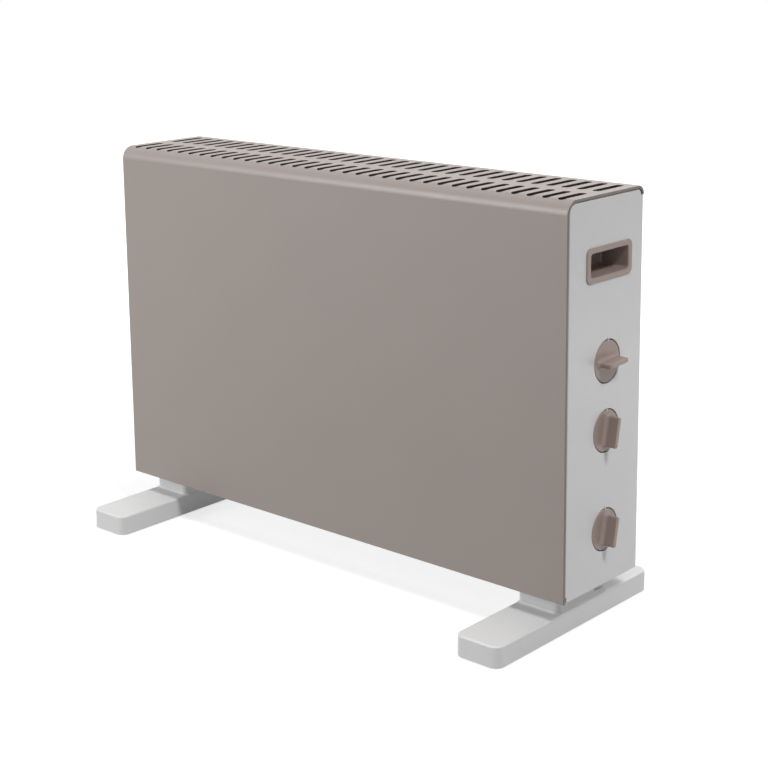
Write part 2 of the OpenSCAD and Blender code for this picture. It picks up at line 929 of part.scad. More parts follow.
// Hollow moulded foot: a bar, a saddle under the case, screw wells and pad bosses
module foot() {
    difference() {
        union() {
            difference() {
                union() {
                    translate([0, 0, foot_rim])
                        linear_extrude(foot_bar_h - foot_rim)
                            foot_outline(0);
                    translate([0, 0, foot_rim])
                        linear_extrude(foot_h - foot_rim)
                            saddle_outline(0);
                    translate([foot_x - step_w / 2, saddle_y + saddle_l - saddle_r, foot_bar_h - over])
                        cube([step_w, step_l + saddle_r, step_h + over]);
                }
                translate([0, 0, -over])
                    linear_extrude(foot_bar_h - foot_wall + over)
                        foot_outline(foot_wall);
                translate([0, 0, -over])
                    linear_extrude(foot_h - saddle_top_t + over)
                        saddle_outline(foot_wall);
            }
            for (y = foot_screw_y)
                translate([foot_x, y, foot_rim])
                    cylinder(d = boss_d, h = foot_h - foot_rim - saddle_top_t / 2);
            for (y = pad_y)
                translate([foot_x, y, foot_rim])
                    cylinder(d = pad_boss_d, h = foot_bar_h - foot_rim - foot_wall / 2);
        }
        for (y = foot_screw_y)
            translate([foot_x, y, -over]) {
                cylinder(d = well_d, h = foot_h - saddle_top_t + over);
                cylinder(d = foot_hole_d, h = foot_h + 2 * over);
            }
        for (y = pad_y)
            translate([foot_x, y, -over])
                cylinder(d = pad_d + 2 * pad_gap, h = pad_pocket + foot_rim + over);
    }
}

module right_foot() {
    color(foot_white)
        place()
            foot();
}

module left_foot() {
    color(foot_white)
        place()
            mirror([1, 0, 0])
                foot();
}

// Soft pads in their pockets under the feet
module foot_pads() {
    color(housing_black)
        place()
            both_ends()
                for (y = pad_y)
                    translate([foot_x, y, 0])
                        cylinder(d = pad_d, h = pad_h);
}

// Screws from the feet's wells up through the base plate
module foot_screws() {
    head_z = foot_h - saddle_top_t - foot_head_h;
    color(zinc)
        place()
            both_ends()
                for (y = foot_screw_y)
                    translate([foot_x, y, head_z]) {
                        cylinder(d = foot_head_d, h = foot_head_h);
                        cylinder(d = foot_screw_d, h = foot_head_h + saddle_top_t + sheet_t + foot_nut_h);
                    }
}

// Nuts on the base plate that take the foot screws
module foot_nuts() {
    color(zinc)
        place_case()
            both_ends()
                for (y = foot_screw_y)
                    translate([foot_x, y, sheet_t])
                        difference() {
                            cylinder(d = foot_nut_af / cos(30), h = foot_nut_h, $fn = 6);
                            translate([0, 0, -over])
                                cylinder(d = foot_hole_d, h = foot_nut_h + 2 * over);
                        }
}

// Screw with its head's seat at the origin and its shank along +Z
module screw() {
    translate([0, 0, -screw_head_h])
        cylinder(d = screw_head_d, h = screw_head_h);
    cylinder(d = screw_d, h = screw_l);
}

// Screws from below through the base plate into the end panels' flanges
module end_panel_screws() {
    color(zinc)
        place_case()
            both_ends()
                for (s = [-1, 1])
                    translate([end_screw_x, s * end_screw_share * case_d, 0])
                        screw();
}

// Screws through the lip and the rear panel, and through the rear panel into the base plate
module rear_panel_screws() {
    color(zinc)
        place_case()
            for (s = rear_screw_shares) {
                translate([s * case_w, half_d, lip_screw_z])
                    rotate([90, 0, 0])
                        screw();
                translate([s * case_w, rear_out_y, base_screw_z])
                    rotate([90, 0, 0])
                        screw();
            }
}

// Screws of the element brackets' feet, heads below the base plate
module bracket_screws() {
    color(zinc)
        place_case()
            for (p = tab_screw_points)
                translate([p[0], p[1], 0])
                    screw();
}

// Screws of the control bracket's foot
module control_screws() {
    color(zinc)
        place_case()
            for (p = control_screw_points)
                translate([p[0], p[1], 0])
                    screw();
}

front_cover();
rear_panel();
base_plate();
right_end_panel();
left_end_panel();
right_grip_cup();
left_grip_cup();
upper_knob();
middle_knob();
thermostat_knob();
upper_switch();
middle_switch();
thermostat();
upper_spindle();
middle_spindle();
thermostat_spindle();
control_bracket();
control_nuts();
lower_element();
upper_element();
left_element_bracket();
right_element_bracket();
element_bushes();
front_heat_shield();
thermal_cutout();
terminal_block();
cord_gland();
gland_nut();
left_foot();
right_foot();
foot_pads();
foot_screws();
foot_nuts();
end_panel_screws();
rear_panel_screws();
bracket_screws();
control_screws();
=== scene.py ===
import json
import math

import bmesh
import bpy
from mathutils import Matrix, Vector
from mathutils.geometry import tessellate_polygon


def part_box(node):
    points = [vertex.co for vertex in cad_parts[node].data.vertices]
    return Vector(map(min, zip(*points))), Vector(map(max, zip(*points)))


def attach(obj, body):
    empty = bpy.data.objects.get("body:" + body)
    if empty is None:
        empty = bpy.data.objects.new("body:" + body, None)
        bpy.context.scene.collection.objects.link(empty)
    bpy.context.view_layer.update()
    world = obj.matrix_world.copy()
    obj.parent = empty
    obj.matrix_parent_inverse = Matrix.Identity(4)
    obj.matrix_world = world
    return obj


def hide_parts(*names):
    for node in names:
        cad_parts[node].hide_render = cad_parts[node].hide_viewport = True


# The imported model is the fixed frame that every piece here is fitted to
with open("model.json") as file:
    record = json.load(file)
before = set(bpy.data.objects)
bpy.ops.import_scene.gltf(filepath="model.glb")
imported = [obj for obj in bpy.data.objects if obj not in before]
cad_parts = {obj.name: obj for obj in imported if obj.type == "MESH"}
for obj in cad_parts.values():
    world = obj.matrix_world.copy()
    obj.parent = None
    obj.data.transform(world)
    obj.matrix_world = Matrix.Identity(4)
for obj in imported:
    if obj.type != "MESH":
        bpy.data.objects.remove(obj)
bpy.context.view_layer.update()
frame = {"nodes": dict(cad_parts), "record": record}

bl_info = {
    "name": "Convector heater",
    "version": (1, 0, 0),
    "blender": (4, 5, 0),
    "location": "3D View > Sidebar > Heater",
    "description": "Painted cover, end panels, finger recesses, knobs and feet round the heater's frame",
    "category": "Object",
}

MM = 0.001
# Corners of a skin that are closer than this are one corner
WELD = 0.73e-6
# Corners closer than this are merged after joining and cutting
MERGE = 0.002 * MM
# How far a cutting shape runs past what it cuts, and a joined one into its neighbour
OVER = 1 * MM
BITE = 0.5 * MM
# Chamfer of lower and inner edges
SOFT = 0.4 * MM
# Steps of a quarter turn on a wide bend, a bend, an edge, a small edge and a rim
WIDE_STEPS = 12
BEND_STEPS = 8
EDGE_STEPS = 6
SMALL_STEPS = 5
RIM_STEPS = 3
# Sides of a knob's disc, of a post or well, and of a pit
DISC_SIDES = 96
POST_SIDES = 48
PIT_SIDES = 24

# The case's own frame: x from its middle, y from its middle, z from its underside
cover_low, cover_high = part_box("front_cover")
CASE_AT = Vector(((cover_low.x + cover_high.x) / 2, (cover_low.y + cover_high.y) / 2, cover_low.z))
CASE_W, CASE_D, CASE_H = cover_high - cover_low

# The case's ends, with the side along x that each is on
ENDS = (("right", 1), ("left", -1))
KNOB_NODES = ("upper_knob", "middle_knob", "thermostat_knob")
# The grips' outer edge, and the radius of the feet's screw heads
KNOB_TIP_X = (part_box("middle_knob")[1] - CASE_AT).x
HEAD_R = 4.7 * MM

# Each finish by the name of its material slot
FINISHES = {}


def length(label, text, metres):
    """A size in metres that the sidebar shows"""
    return bpy.props.FloatProperty(
        name=label, description=text, default=metres, min=0.0, precision=5, unit="LENGTH")


def count(label, text, number):
    """A number of copies that the sidebar shows"""
    return bpy.props.IntProperty(name=label, description=text, default=number, min=1)


def turn(label, text, degrees):
    """An angle that the sidebar shows"""
    return bpy.props.FloatProperty(
        name=label, description=text, default=math.radians(degrees), precision=3, unit="ROTATION")


def amount(label, text, number):
    """A plain number that the sidebar shows"""
    return bpy.props.FloatProperty(name=label, description=text, default=number, precision=4)


def colour(label, text, rgb):
    """A colour that the sidebar shows"""
    return bpy.props.FloatVectorProperty(
        name=label, description=text, default=rgb, size=3, min=0.0, max=1.0, subtype="COLOR")


class CoverSizes(bpy.types.PropertyGroup):
    """Sizes of the bent cover and its outlet slots"""
    sheet: length("Sheet", "Thickness of the painted sheet", 0.8 * MM)
    front_bend: length("Front bend", "Outer radius between front and top", 14 * MM)
    rear_bend: length("Rear bend", "Outer radius between top and rear", 9 * MM)
    lip: length("Rear lip", "Height of the lip below the rear bend", 9 * MM)
    lip_inset: length("Lip inset", "Distance of the lip's ends from the case's sides", 13 * MM)
    hem: length("Hem", "Thickness of the folded side edges", 3 * MM)
    hem_width: length("Hem width", "Width of the folded side edges", 8 * MM)
    edge: length("Edge radius", "Roundness of the side edges", 1 * MM)
    slots: count("Slots", "Number of slots in a row", 34)
    pitch: length("Slot pitch", "Distance between neighbouring slots", 17.3 * MM)
    slot_width: length("Slot width", "Width of a slot", 8.5 * MM)
    front_gap: length("Front gap", "Distance from the front to the front row", 8.5 * MM)
    front_slot: length("Front slot", "Length of the front row's slots", 38 * MM)
    bar: length("Bar", "Width of the bar between the two rows", 15 * MM)
    rear_slot: length("Rear slot", "Length of the rear row's slots", 44 * MM)
    rim: length("Slot rim", "Roundness of the slots' upper rims", 0.4 * MM)
    collar: length("Collar", "Depth of the turned-down edge round a slot", 5 * MM)
    collar_wall: length("Collar wall", "Wall of the turned-down edge", 1 * MM)
    cell_end: length("Cell end", "Plain sheet beyond each slot's ends", 3 * MM)


class PanelSizes(bpy.types.PropertyGroup):
    """Sizes of the end panels"""
    wall: length("Wall", "Thickness of a panel", 2.4 * MM)
    recess: length("Recess", "Depth of the panel's face behind the cover's edge", 0.4 * MM)
    gap: length("Gap", "Gap between panel and hem", 0.6 * MM)
    edge: length("Edge radius", "Roundness of the panel's edges", 1.4 * MM)
    flange: length("Flange", "Thickness of the panel's flange", 1.2 * MM)
    flange_depth: length("Flange depth", "Depth of the flange behind front and top edges", 5 * MM)
    tab_depth: length("Tab depth", "Depth of the lower and rear flanges", 10 * MM)
    dial_hole: length("Dial hole", "Diameter of the holes for the knobs", 42 * MM)
    dial_rim: length("Dial rim", "Roundness of those holes' rims", 0.5 * MM)
    crease: length("Crease", "Width of the band along the rear edge that falls away", 11 * MM)
    crease_drop: length("Crease drop", "How far that band falls away at the edge", 0.5 * MM)
    notch_width: length("Notch width", "Width of the notch at the lower front corner", 1.8 * MM)
    notch_height: length("Notch height", "Height of that notch", 6 * MM)
    index_width: length("Index width", "Width of the index mark above a knob", 1.2 * MM)
    index_reach: length("Index reach", "Reach of the index mark above and below the hole's top", 2 * MM)
    index_rise: length("Index rise", "Height of the index mark on the panel", 0.45 * MM)


class GripSizes(bpy.types.PropertyGroup):
    """Sizes of the finger recesses"""
    frame_width: length("Frame width", "Width of the frame", 72.5 * MM)
    frame_height: length("Frame height", "Height of the frame", 33 * MM)
    frame_corner: length("Frame corner", "Corner radius of the frame", 6 * MM)
    frame_edge: length("Frame edge", "Roundness of the frame's outer edge", 1.1 * MM)
    thickness: length("Frame thickness", "Height of the frame on the panel", 1.4 * MM)
    width: length("Width", "Width of the recess inside", 60 * MM)
    height: length("Height", "Height of the recess inside", 22 * MM)
    corner: length("Corner", "Corner radius of the recess inside", 3 * MM)
    mouth: length("Mouth", "Roundness of the recess's mouth", 1.2 * MM)
    wall: length("Wall", "Wall of the cup", 2 * MM)
    depth: length("Depth", "Depth of the cup behind the panel's face", 31 * MM)
    taper: length("Taper", "How far each side of the cup draws in towards its floor", 1 * MM)
    floor_edge: length("Floor edge", "Roundness between the cup's sides and floor", 2.5 * MM)
    centre: length("Centre height", "Height of the recess's centre above the case's underside", 311 * MM)
    side_y: length("Behind middle", "Distance of recess and knobs behind the case's middle", 5 * MM)


class KnobSizes(bpy.types.PropertyGroup):
    """Sizes of the knobs"""
    gap: length("Gap", "Gap round a knob's disc in its hole", 0.7 * MM)
    face: length("Face", "Depth of the disc's face behind the case's side", 0.6 * MM)
    depth: length("Depth", "Depth of the disc", 10 * MM)
    wall: length("Wall", "Wall of the hollow disc", 1.8 * MM)
    disc_edge: length("Disc edge", "Roundness of the disc's edge", 1.2 * MM)
    hub: length("Hub", "Diameter of the hub behind the disc", 13 * MM)
    bore: length("Bore", "Diameter of the hub's blind bore", 6.1 * MM)
    bore_depth: length("Bore depth", "Depth of that bore", 9 * MM)
    grip: length("Grip length", "Length of the flat grip at its outer edge", 28.9 * MM)
    grip_width: length("Grip thickness", "Thickness of the flat grip at its outer edge", 4.5 * MM)
    grip_corner: length("Grip corner", "Corner radius of the grip's outline", 1.6 * MM)
    grip_edge: length("Grip edge", "Roundness of the grip's outer edges", 0.8 * MM)
    grip_taper: length("Grip taper", "How far each side of the grip grows towards the disc", 0.3 * MM)
    blend: length("Blend", "Radius between the grip's sides and the disc", 4.2 * MM)
    pit: length("Pointer pit", "Diameter of the pit in the grip's outer edge", 1.8 * MM)
    pit_depth: length("Pit depth", "Depth of that pit", 0.8 * MM)
    pit_inset: length("Pit inset", "Distance of the pit's centre from the grip's end", 2.4 * MM)
    upper_turn: turn(
        "Upper turn", "Turn of the upper knob; at 0 its grip is upright with the pit at the bottom", -87)
    other_turn: turn("Other turn", "Turn of the middle and the lower knob", -12)


class FootSizes(bpy.types.PropertyGroup):
    """Sizes of the feet"""
    rim: length("Rim", "Gap between the foot's rim and the floor", 1 * MM)
    bar: length("Bar", "Height of the bar", 22 * MM)
    corner: length("Corner", "Corner radius of the bar's ends", 10 * MM)
    top_edge: length("Top edge", "Roundness of the bar's top edge", 2 * MM)
    wall: length("Wall", "Wall of the foot", 3 * MM)
    saddle_front: length("Saddle front", "Distance of the saddle behind the case's front", 17 * MM)
    saddle: length("Saddle", "Length of the saddle", 63 * MM)
    saddle_inset: length("Saddle inset", "Distance of the saddle's sides from the bar's", 1.5 * MM)
    saddle_corner: length("Saddle corner", "Corner radius of the saddle", 6 * MM)
    saddle_foot: length("Saddle foot", "Roundness where the saddle meets the bar", 2.5 * MM)
    step: length("Step", "Length of the step behind the saddle", 15 * MM)
    step_height: length("Step height", "Height of that step", 4 * MM)
    boss: length("Screw boss", "Diameter of the bosses round the screws", 14 * MM)
    well: length("Screw well", "Diameter of the wells below the screws", 10.4 * MM)
    roof: length("Roof", "Plastic between the screw wells and the case", 4 * MM)
    screw: length("Screw hole", "Diameter of the screws' holes", 5.1 * MM)
    pad: length("Pad pocket", "Diameter of the pads' pockets", 16.2 * MM)
    pad_height: length("Pad height", "Height of the pads", 3 * MM)
    pad_edge: length("Pad edge", "Distance of the pads from the bar's inner end walls", 6 * MM)


class Colours(bpy.types.PropertyGroup):
    """Colours of the finishes, as the shader takes them"""
    cover: colour("Cover", "Warm taupe powder coat", (0.270, 0.230, 0.210))
    # Painted shade: this near-black stands in for the shade in the cover's slots and along its folded side
    # edges
    inside: colour("Slot_and_fold_shade", "Dark primer in the slots and, thinner, on the folds", (0.020, 0.016, 0.014))
    panel: colour("End panels", "Silver-grey moulded plastic", (0.570, 0.570, 0.570))
    knob: colour("Knobs", "Darker taupe moulded plastic", (0.285, 0.219, 0.193))
    foot: colour("Feet", "Off-white moulded plastic", (0.600, 0.600, 0.600))
    zinc: colour("Zinc", "Zinc-coated sheet steel", (0.560, 0.570, 0.590))
    shield: colour("Heat shield", "Bright rolled aluminium", (0.820, 0.830, 0.840))
    element: colour("Elements", "Extruded aluminium, dulled by heat", (0.480, 0.485, 0.490))
    screw: colour("Screws", "Zinc plating", (0.620, 0.620, 0.610))
    black: colour("Black plastic", "Switches, thermostat and gland", (0.018, 0.018, 0.020))
    ceramic: colour("Ceramic", "Glazed bushes and terminal block", (0.780, 0.740, 0.640))
    rubber: colour("Rubber", "Soft pads under the feet", (0.016, 0.016, 0.017))


class Skin:
    """Faces that are given by their corners' places and share the corners that coincide"""

    def __init__(self):
        self.points = []
        self.known = {}
        self.faces = []

    def corner(self, place):
        key = tuple(round(value / WELD) for value in place)
        if key not in self.known:
            self.known[key] = len(self.points)
            self.points.append(tuple(place))
        return self.known[key]

    def face(self, places):
        ring = []
        for place in places:
            index = self.corner(place)
            if index not in ring:
                ring.append(index)
        if len(ring) > 2:
            self.faces.append(ring)

    def strip(self, first, second, closed=True):
        """Quads between two rows with as many points"""
        for i in range(len(first) - (0 if closed else 1)):
            j = (i + 1) % len(first)
            self.face([first[i], first[j], second[j], second[i]])

    def tube(self, rings):
        """Quads from each ring to the next, which has as many points"""
        for first, second in zip(rings, rings[1:]):
            self.strip(first, second)

    def loft(self, rings):
        """A tube that is capped at both ends"""
        self.tube(rings)
        self.face(rings[0])
        self.face(rings[-1])

    def plate(self, outline, holes):
        """A flat face with holes"""
        loops = [outline] + holes
        places = [place for loop in loops for place in loop]
        for triangle in tessellate_polygon([[Vector(place) for place in loop] for loop in loops]):
            self.face([places[i] for i in triangle])


def mesh_of(name, skin):
    """The skin as a closed mesh whose faces look outwards"""
    mesh = bpy.data.meshes.new(name)
    mesh.from_pydata(skin.points, [], skin.faces)
    work = bmesh.new()
    work.from_mesh(mesh)
    bmesh.ops.recalc_face_normals(work, faces=work.faces)
    open_edges = sum(1 for edge in work.edges if not edge.is_manifold)
    if open_edges:
        raise RuntimeError(f"{name} has {open_edges} open edges")
    work.to_mesh(mesh)
    work.free()
    return mesh


def solid(name, skin):
    """The skin as an object, for joining and cutting"""
    thing = bpy.data.objects.new(name, mesh_of(name, skin))
    bpy.context.scene.collection.objects.link(thing)
    return thing


def combine(base, other, operation):
    """Joins other to base, or cuts it out of base, and deletes it"""
    step = base.modifiers.new("Combine", "BOOLEAN")
    step.operation = operation
    step.solver = "EXACT"
    step.object = other
    seen = base.evaluated_get(bpy.context.evaluated_depsgraph_get())
    result = bpy.data.meshes.new_from_object(seen)
    base.modifiers.clear()
    base.data = result
    bpy.data.objects.remove(other)


def tidy(mesh):
    """Merges corners that lie on each other, removes edges and faces that have shrunk to nothing, and
    turns the faces outwards
    """
    work = bmesh.new()
    work.from_mesh(mesh)
    bmesh.ops.remove_doubles(work, verts=work.verts, dist=MERGE)
    bmesh.ops.dissolve_degenerate(work, edges=work.edges, dist=MERGE)
    bmesh.ops.recalc_face_normals(work, faces=work.faces)
    work.to_mesh(mesh)
    work.free()


def piece(name, mesh, node, side=1, sharp=35):
    """A finished piece in the place of a CAD node; side -1 mirrors it to the case's other end"""
    mesh.name = name
    place = Matrix.Translation(CASE_AT)
    if side < 0:
        place = place @ Matrix.Scale(-1, 4, (1, 0, 0))
    mesh.transform(place)
    if side < 0:
        mesh.flip_normals()
    mesh.shade_smooth()
    mesh.set_sharp_from_angle(angle=math.radians(sharp))
    mesh.materials.clear()
    mesh.materials.append(finish_of(node))
    thing = bpy.data.objects.new(name, mesh)
    bpy.context.scene.collection.objects.link(thing)
    shading = thing.modifiers.new("Even shading", "WEIGHTED_NORMAL")
    shading.keep_sharp = True
    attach(thing, body_of(node))
    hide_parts(node)


def body_of(node):
    """The name of the body that carries a CAD node"""
    for body, names in frame["record"]["behaviour"]["bodies"].items():
        if node in names:
            return body
    raise RuntimeError(f"no body carries {node}")


def slot_of(node):
    """The name of a CAD node's material slot"""
    for part in frame["record"]["subparts"]:
        if part["node"] == node:
            return part["material_slot"]
    raise RuntimeError(f"{node} has no material slot")


def finish_of(node):
    """The finish of a CAD node's slot"""
    return FINISHES[slot_of(node)]


def knob_height(node):
    """Height of a knob's middle above the case's underside"""
    low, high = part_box(node)
    return (low.z + high.z) / 2 - CASE_AT.z


def arc_steps(steps):
    """Angles of a quarter turn"""
    return [math.pi / 2 * k / steps for k in range(steps + 1)]


def rounding(radius, steps):
    """Pairs along a quarter round of this radius, from (radius, 0) to (0, radius)"""
    return [(radius * (1 - math.sin(a)), radius * (1 - math.cos(a))) for a in arc_steps(steps)]


def round_corners(width, height, radius, steps=BEND_STEPS):
    """Points (u, v) of a rectangle with round corners round the origin"""
    points = []
    for corner, su, sv in ((0, 1, 1), (1, -1, 1), (2, -1, -1), (3, 1, -1)):
        middle_u, middle_v = su * (width / 2 - radius), sv * (height / 2 - radius)
        for angle in arc_steps(steps):
            a = angle + corner * math.pi / 2
            points.append((middle_u + radius * math.cos(a), middle_v + radius * math.sin(a)))
    return points


def circle(radius, sides):
    """Points (u, v) of a circle round the origin"""
    angles = [2 * math.pi * k / sides for k in range(sides)]
    return [(radius * math.cos(a), radius * math.sin(a)) for a in angles]


def rectangle(low_u, low_v, high_u, high_v):
    """Corners (u, v) of a rectangle"""
    return [(low_u, low_v), (high_u, low_v), (high_u, high_v), (low_u, high_v)]


def across(points, x, y=0.0, z=0.0):
    """Points (u, v) as places on a plane across the case's width"""
    return [(x, y + u, z + v) for u, v in points]


def level(points, z, x=0.0, y=0.0):
    """Points (u, v) as places on a level plane"""
    return [(x + u, y + v, z) for u, v in points]


# Cover: points are (x, s, depth), where s runs along the outline from the front's lower edge
# over the top to the rear lip, and depth goes into the sheet


class CoverShape:
    """The bent cover's outline and the places of its slots"""
    # Steps of a slot's quarter turns and of its straight sides
    quarter = 8
    straight = 6

    def __init__(self, sizes):
        self.c = sizes
        self.bend_start = CASE_H - sizes.front_bend
        self.top_start = self.bend_start + math.pi / 2 * sizes.front_bend
        self.top_end = self.top_start + CASE_D - sizes.front_bend - sizes.rear_bend
        self.lip_start = self.top_end + math.pi / 2 * sizes.rear_bend
        self.lip_end = self.lip_start + sizes.lip
        front_row = self.along(-CASE_D / 2 + sizes.front_gap)
        front_end = self.along(-CASE_D / 2 + sizes.front_gap + sizes.front_slot)
        rear_row = front_end + sizes.bar
        self.rows = [(front_row, front_end), (rear_row, rear_row + sizes.rear_slot)]

    def along(self, y):
        """Distance along the outline of a place on the top or the front bend"""
        flat = y + CASE_D / 2 - self.c.front_bend
        if flat >= 0:
            return self.top_start + flat
        return self.bend_start + self.c.front_bend * math.acos(-flat / self.c.front_bend)

    def at(self, x, s, depth):
        """Place of a point of the cover"""
        front, rear = self.c.front_bend, self.c.rear_bend
        half = CASE_D / 2
        if s <= self.bend_start:
            return (x, -half + depth, s)
        if s <= self.top_start:
            a = (s - self.bend_start) / front
            r = front - depth
            return (x, -half + front - r * math.cos(a), CASE_H - front + r * math.sin(a))
        if s <= self.top_end:
            return (x, -half + front + s - self.top_start, CASE_H - depth)
        if s <= self.lip_start:
            a = (s - self.top_end) / rear
            r = rear - depth
            return (x, half - rear + r * math.sin(a), CASE_H - rear + r * math.cos(a))
        return (x, half - depth, CASE_H - rear - (s - self.lip_start))

    def slot_ring(self, x, low, high, radius):
        """Outline of a slot whose round ends have their centres at low and high"""
        turns = arc_steps(self.quarter)[:-1]
        climb = [k / self.straight for k in range(self.straight)]
        ring = [(x + radius * math.cos(a), low - radius * math.sin(a)) for a in turns]
        ring += [(x - radius * math.sin(a), low - radius * math.cos(a)) for a in turns]
        ring += [(x - radius, low + (high - low) * t) for t in climb]
        ring += [(x - radius * math.cos(a), high + radius * math.sin(a)) for a in turns]
        ring += [(x + radius * math.sin(a), high + radius * math.cos(a)) for a in turns]
        ring += [(x + radius, high - (high - low) * t) for t in climb]
        return ring

    def cell_ring(self, x, low, high, left, right, first, last):
        """Border of a slot's cell, with a point for each point of the slot"""
        part = [2 * k / self.quarter for k in range(self.quarter // 2)]
        climb = [k / self.straight for k in range(self.straight)]
        ring = [(x + right, low - (low - first) * t) for t in part]
        ring += [(x + right * (1 - t), first) for t in part]
        ring += [(x - left * t, first) for t in part]
        ring += [(x - left, first + (low - first) * t) for t in part]
        ring += [(x - left, low + (high - low) * t) for t in climb]
        ring += [(x - left, high + (last - high) * t) for t in part]
        ring += [(x - left * (1 - t), last) for t in part]
        ring += [(x + right * t, last) for t in part]
        ring += [(x + right, last - (last - high) * t) for t in part]
        ring += [(x + right, high - (high - low) * t) for t in climb]
        return ring

    def centres(self):
        return [(i - (self.c.slots - 1) / 2) * self.c.pitch for i in range(self.c.slots)]

    def half_widths(self, index, limit):
        """Half widths of a cell to its left and right, where the end cells reach to limit"""
        end = limit - self.centres()[-1]
        half = self.c.pitch / 2
        return (end if index == 0 else half, end if index == self.c.slots - 1 else half)

    def columns(self, limit):
        """Places along x of the cells' points, with the end cells reaching to limit"""
        part = self.quarter // 2
        values = [-limit]
        for i, x in enumerate(self.centres()):
            left, right = self.half_widths(i, limit)
            values += [x - left * (1 - k / part) for k in range(1, part + 1)]
            values += [x + right * k / part for k in range(1, part + 1)]
        return values

    def cell_levels(self, row):
        """Distances along the outline of the points on a cell's side"""
        start, end = row
        r = self.c.slot_width / 2
        first, last = start - self.c.cell_end, end + self.c.cell_end
        low, high = start + r, end - r
        part = self.quarter // 2
        values = [first + (low - first) * k / part for k in range(part)]
        values += [low + (high - low) * k / self.straight for k in range(self.straight)]
        return values + [high + (last - high) * k / part for k in range(part + 1)]


def spread(first, last, steps):
    """Even steps from first to last, both included"""
    return [first + (last - first) * k / steps for k in range(steps + 1)]


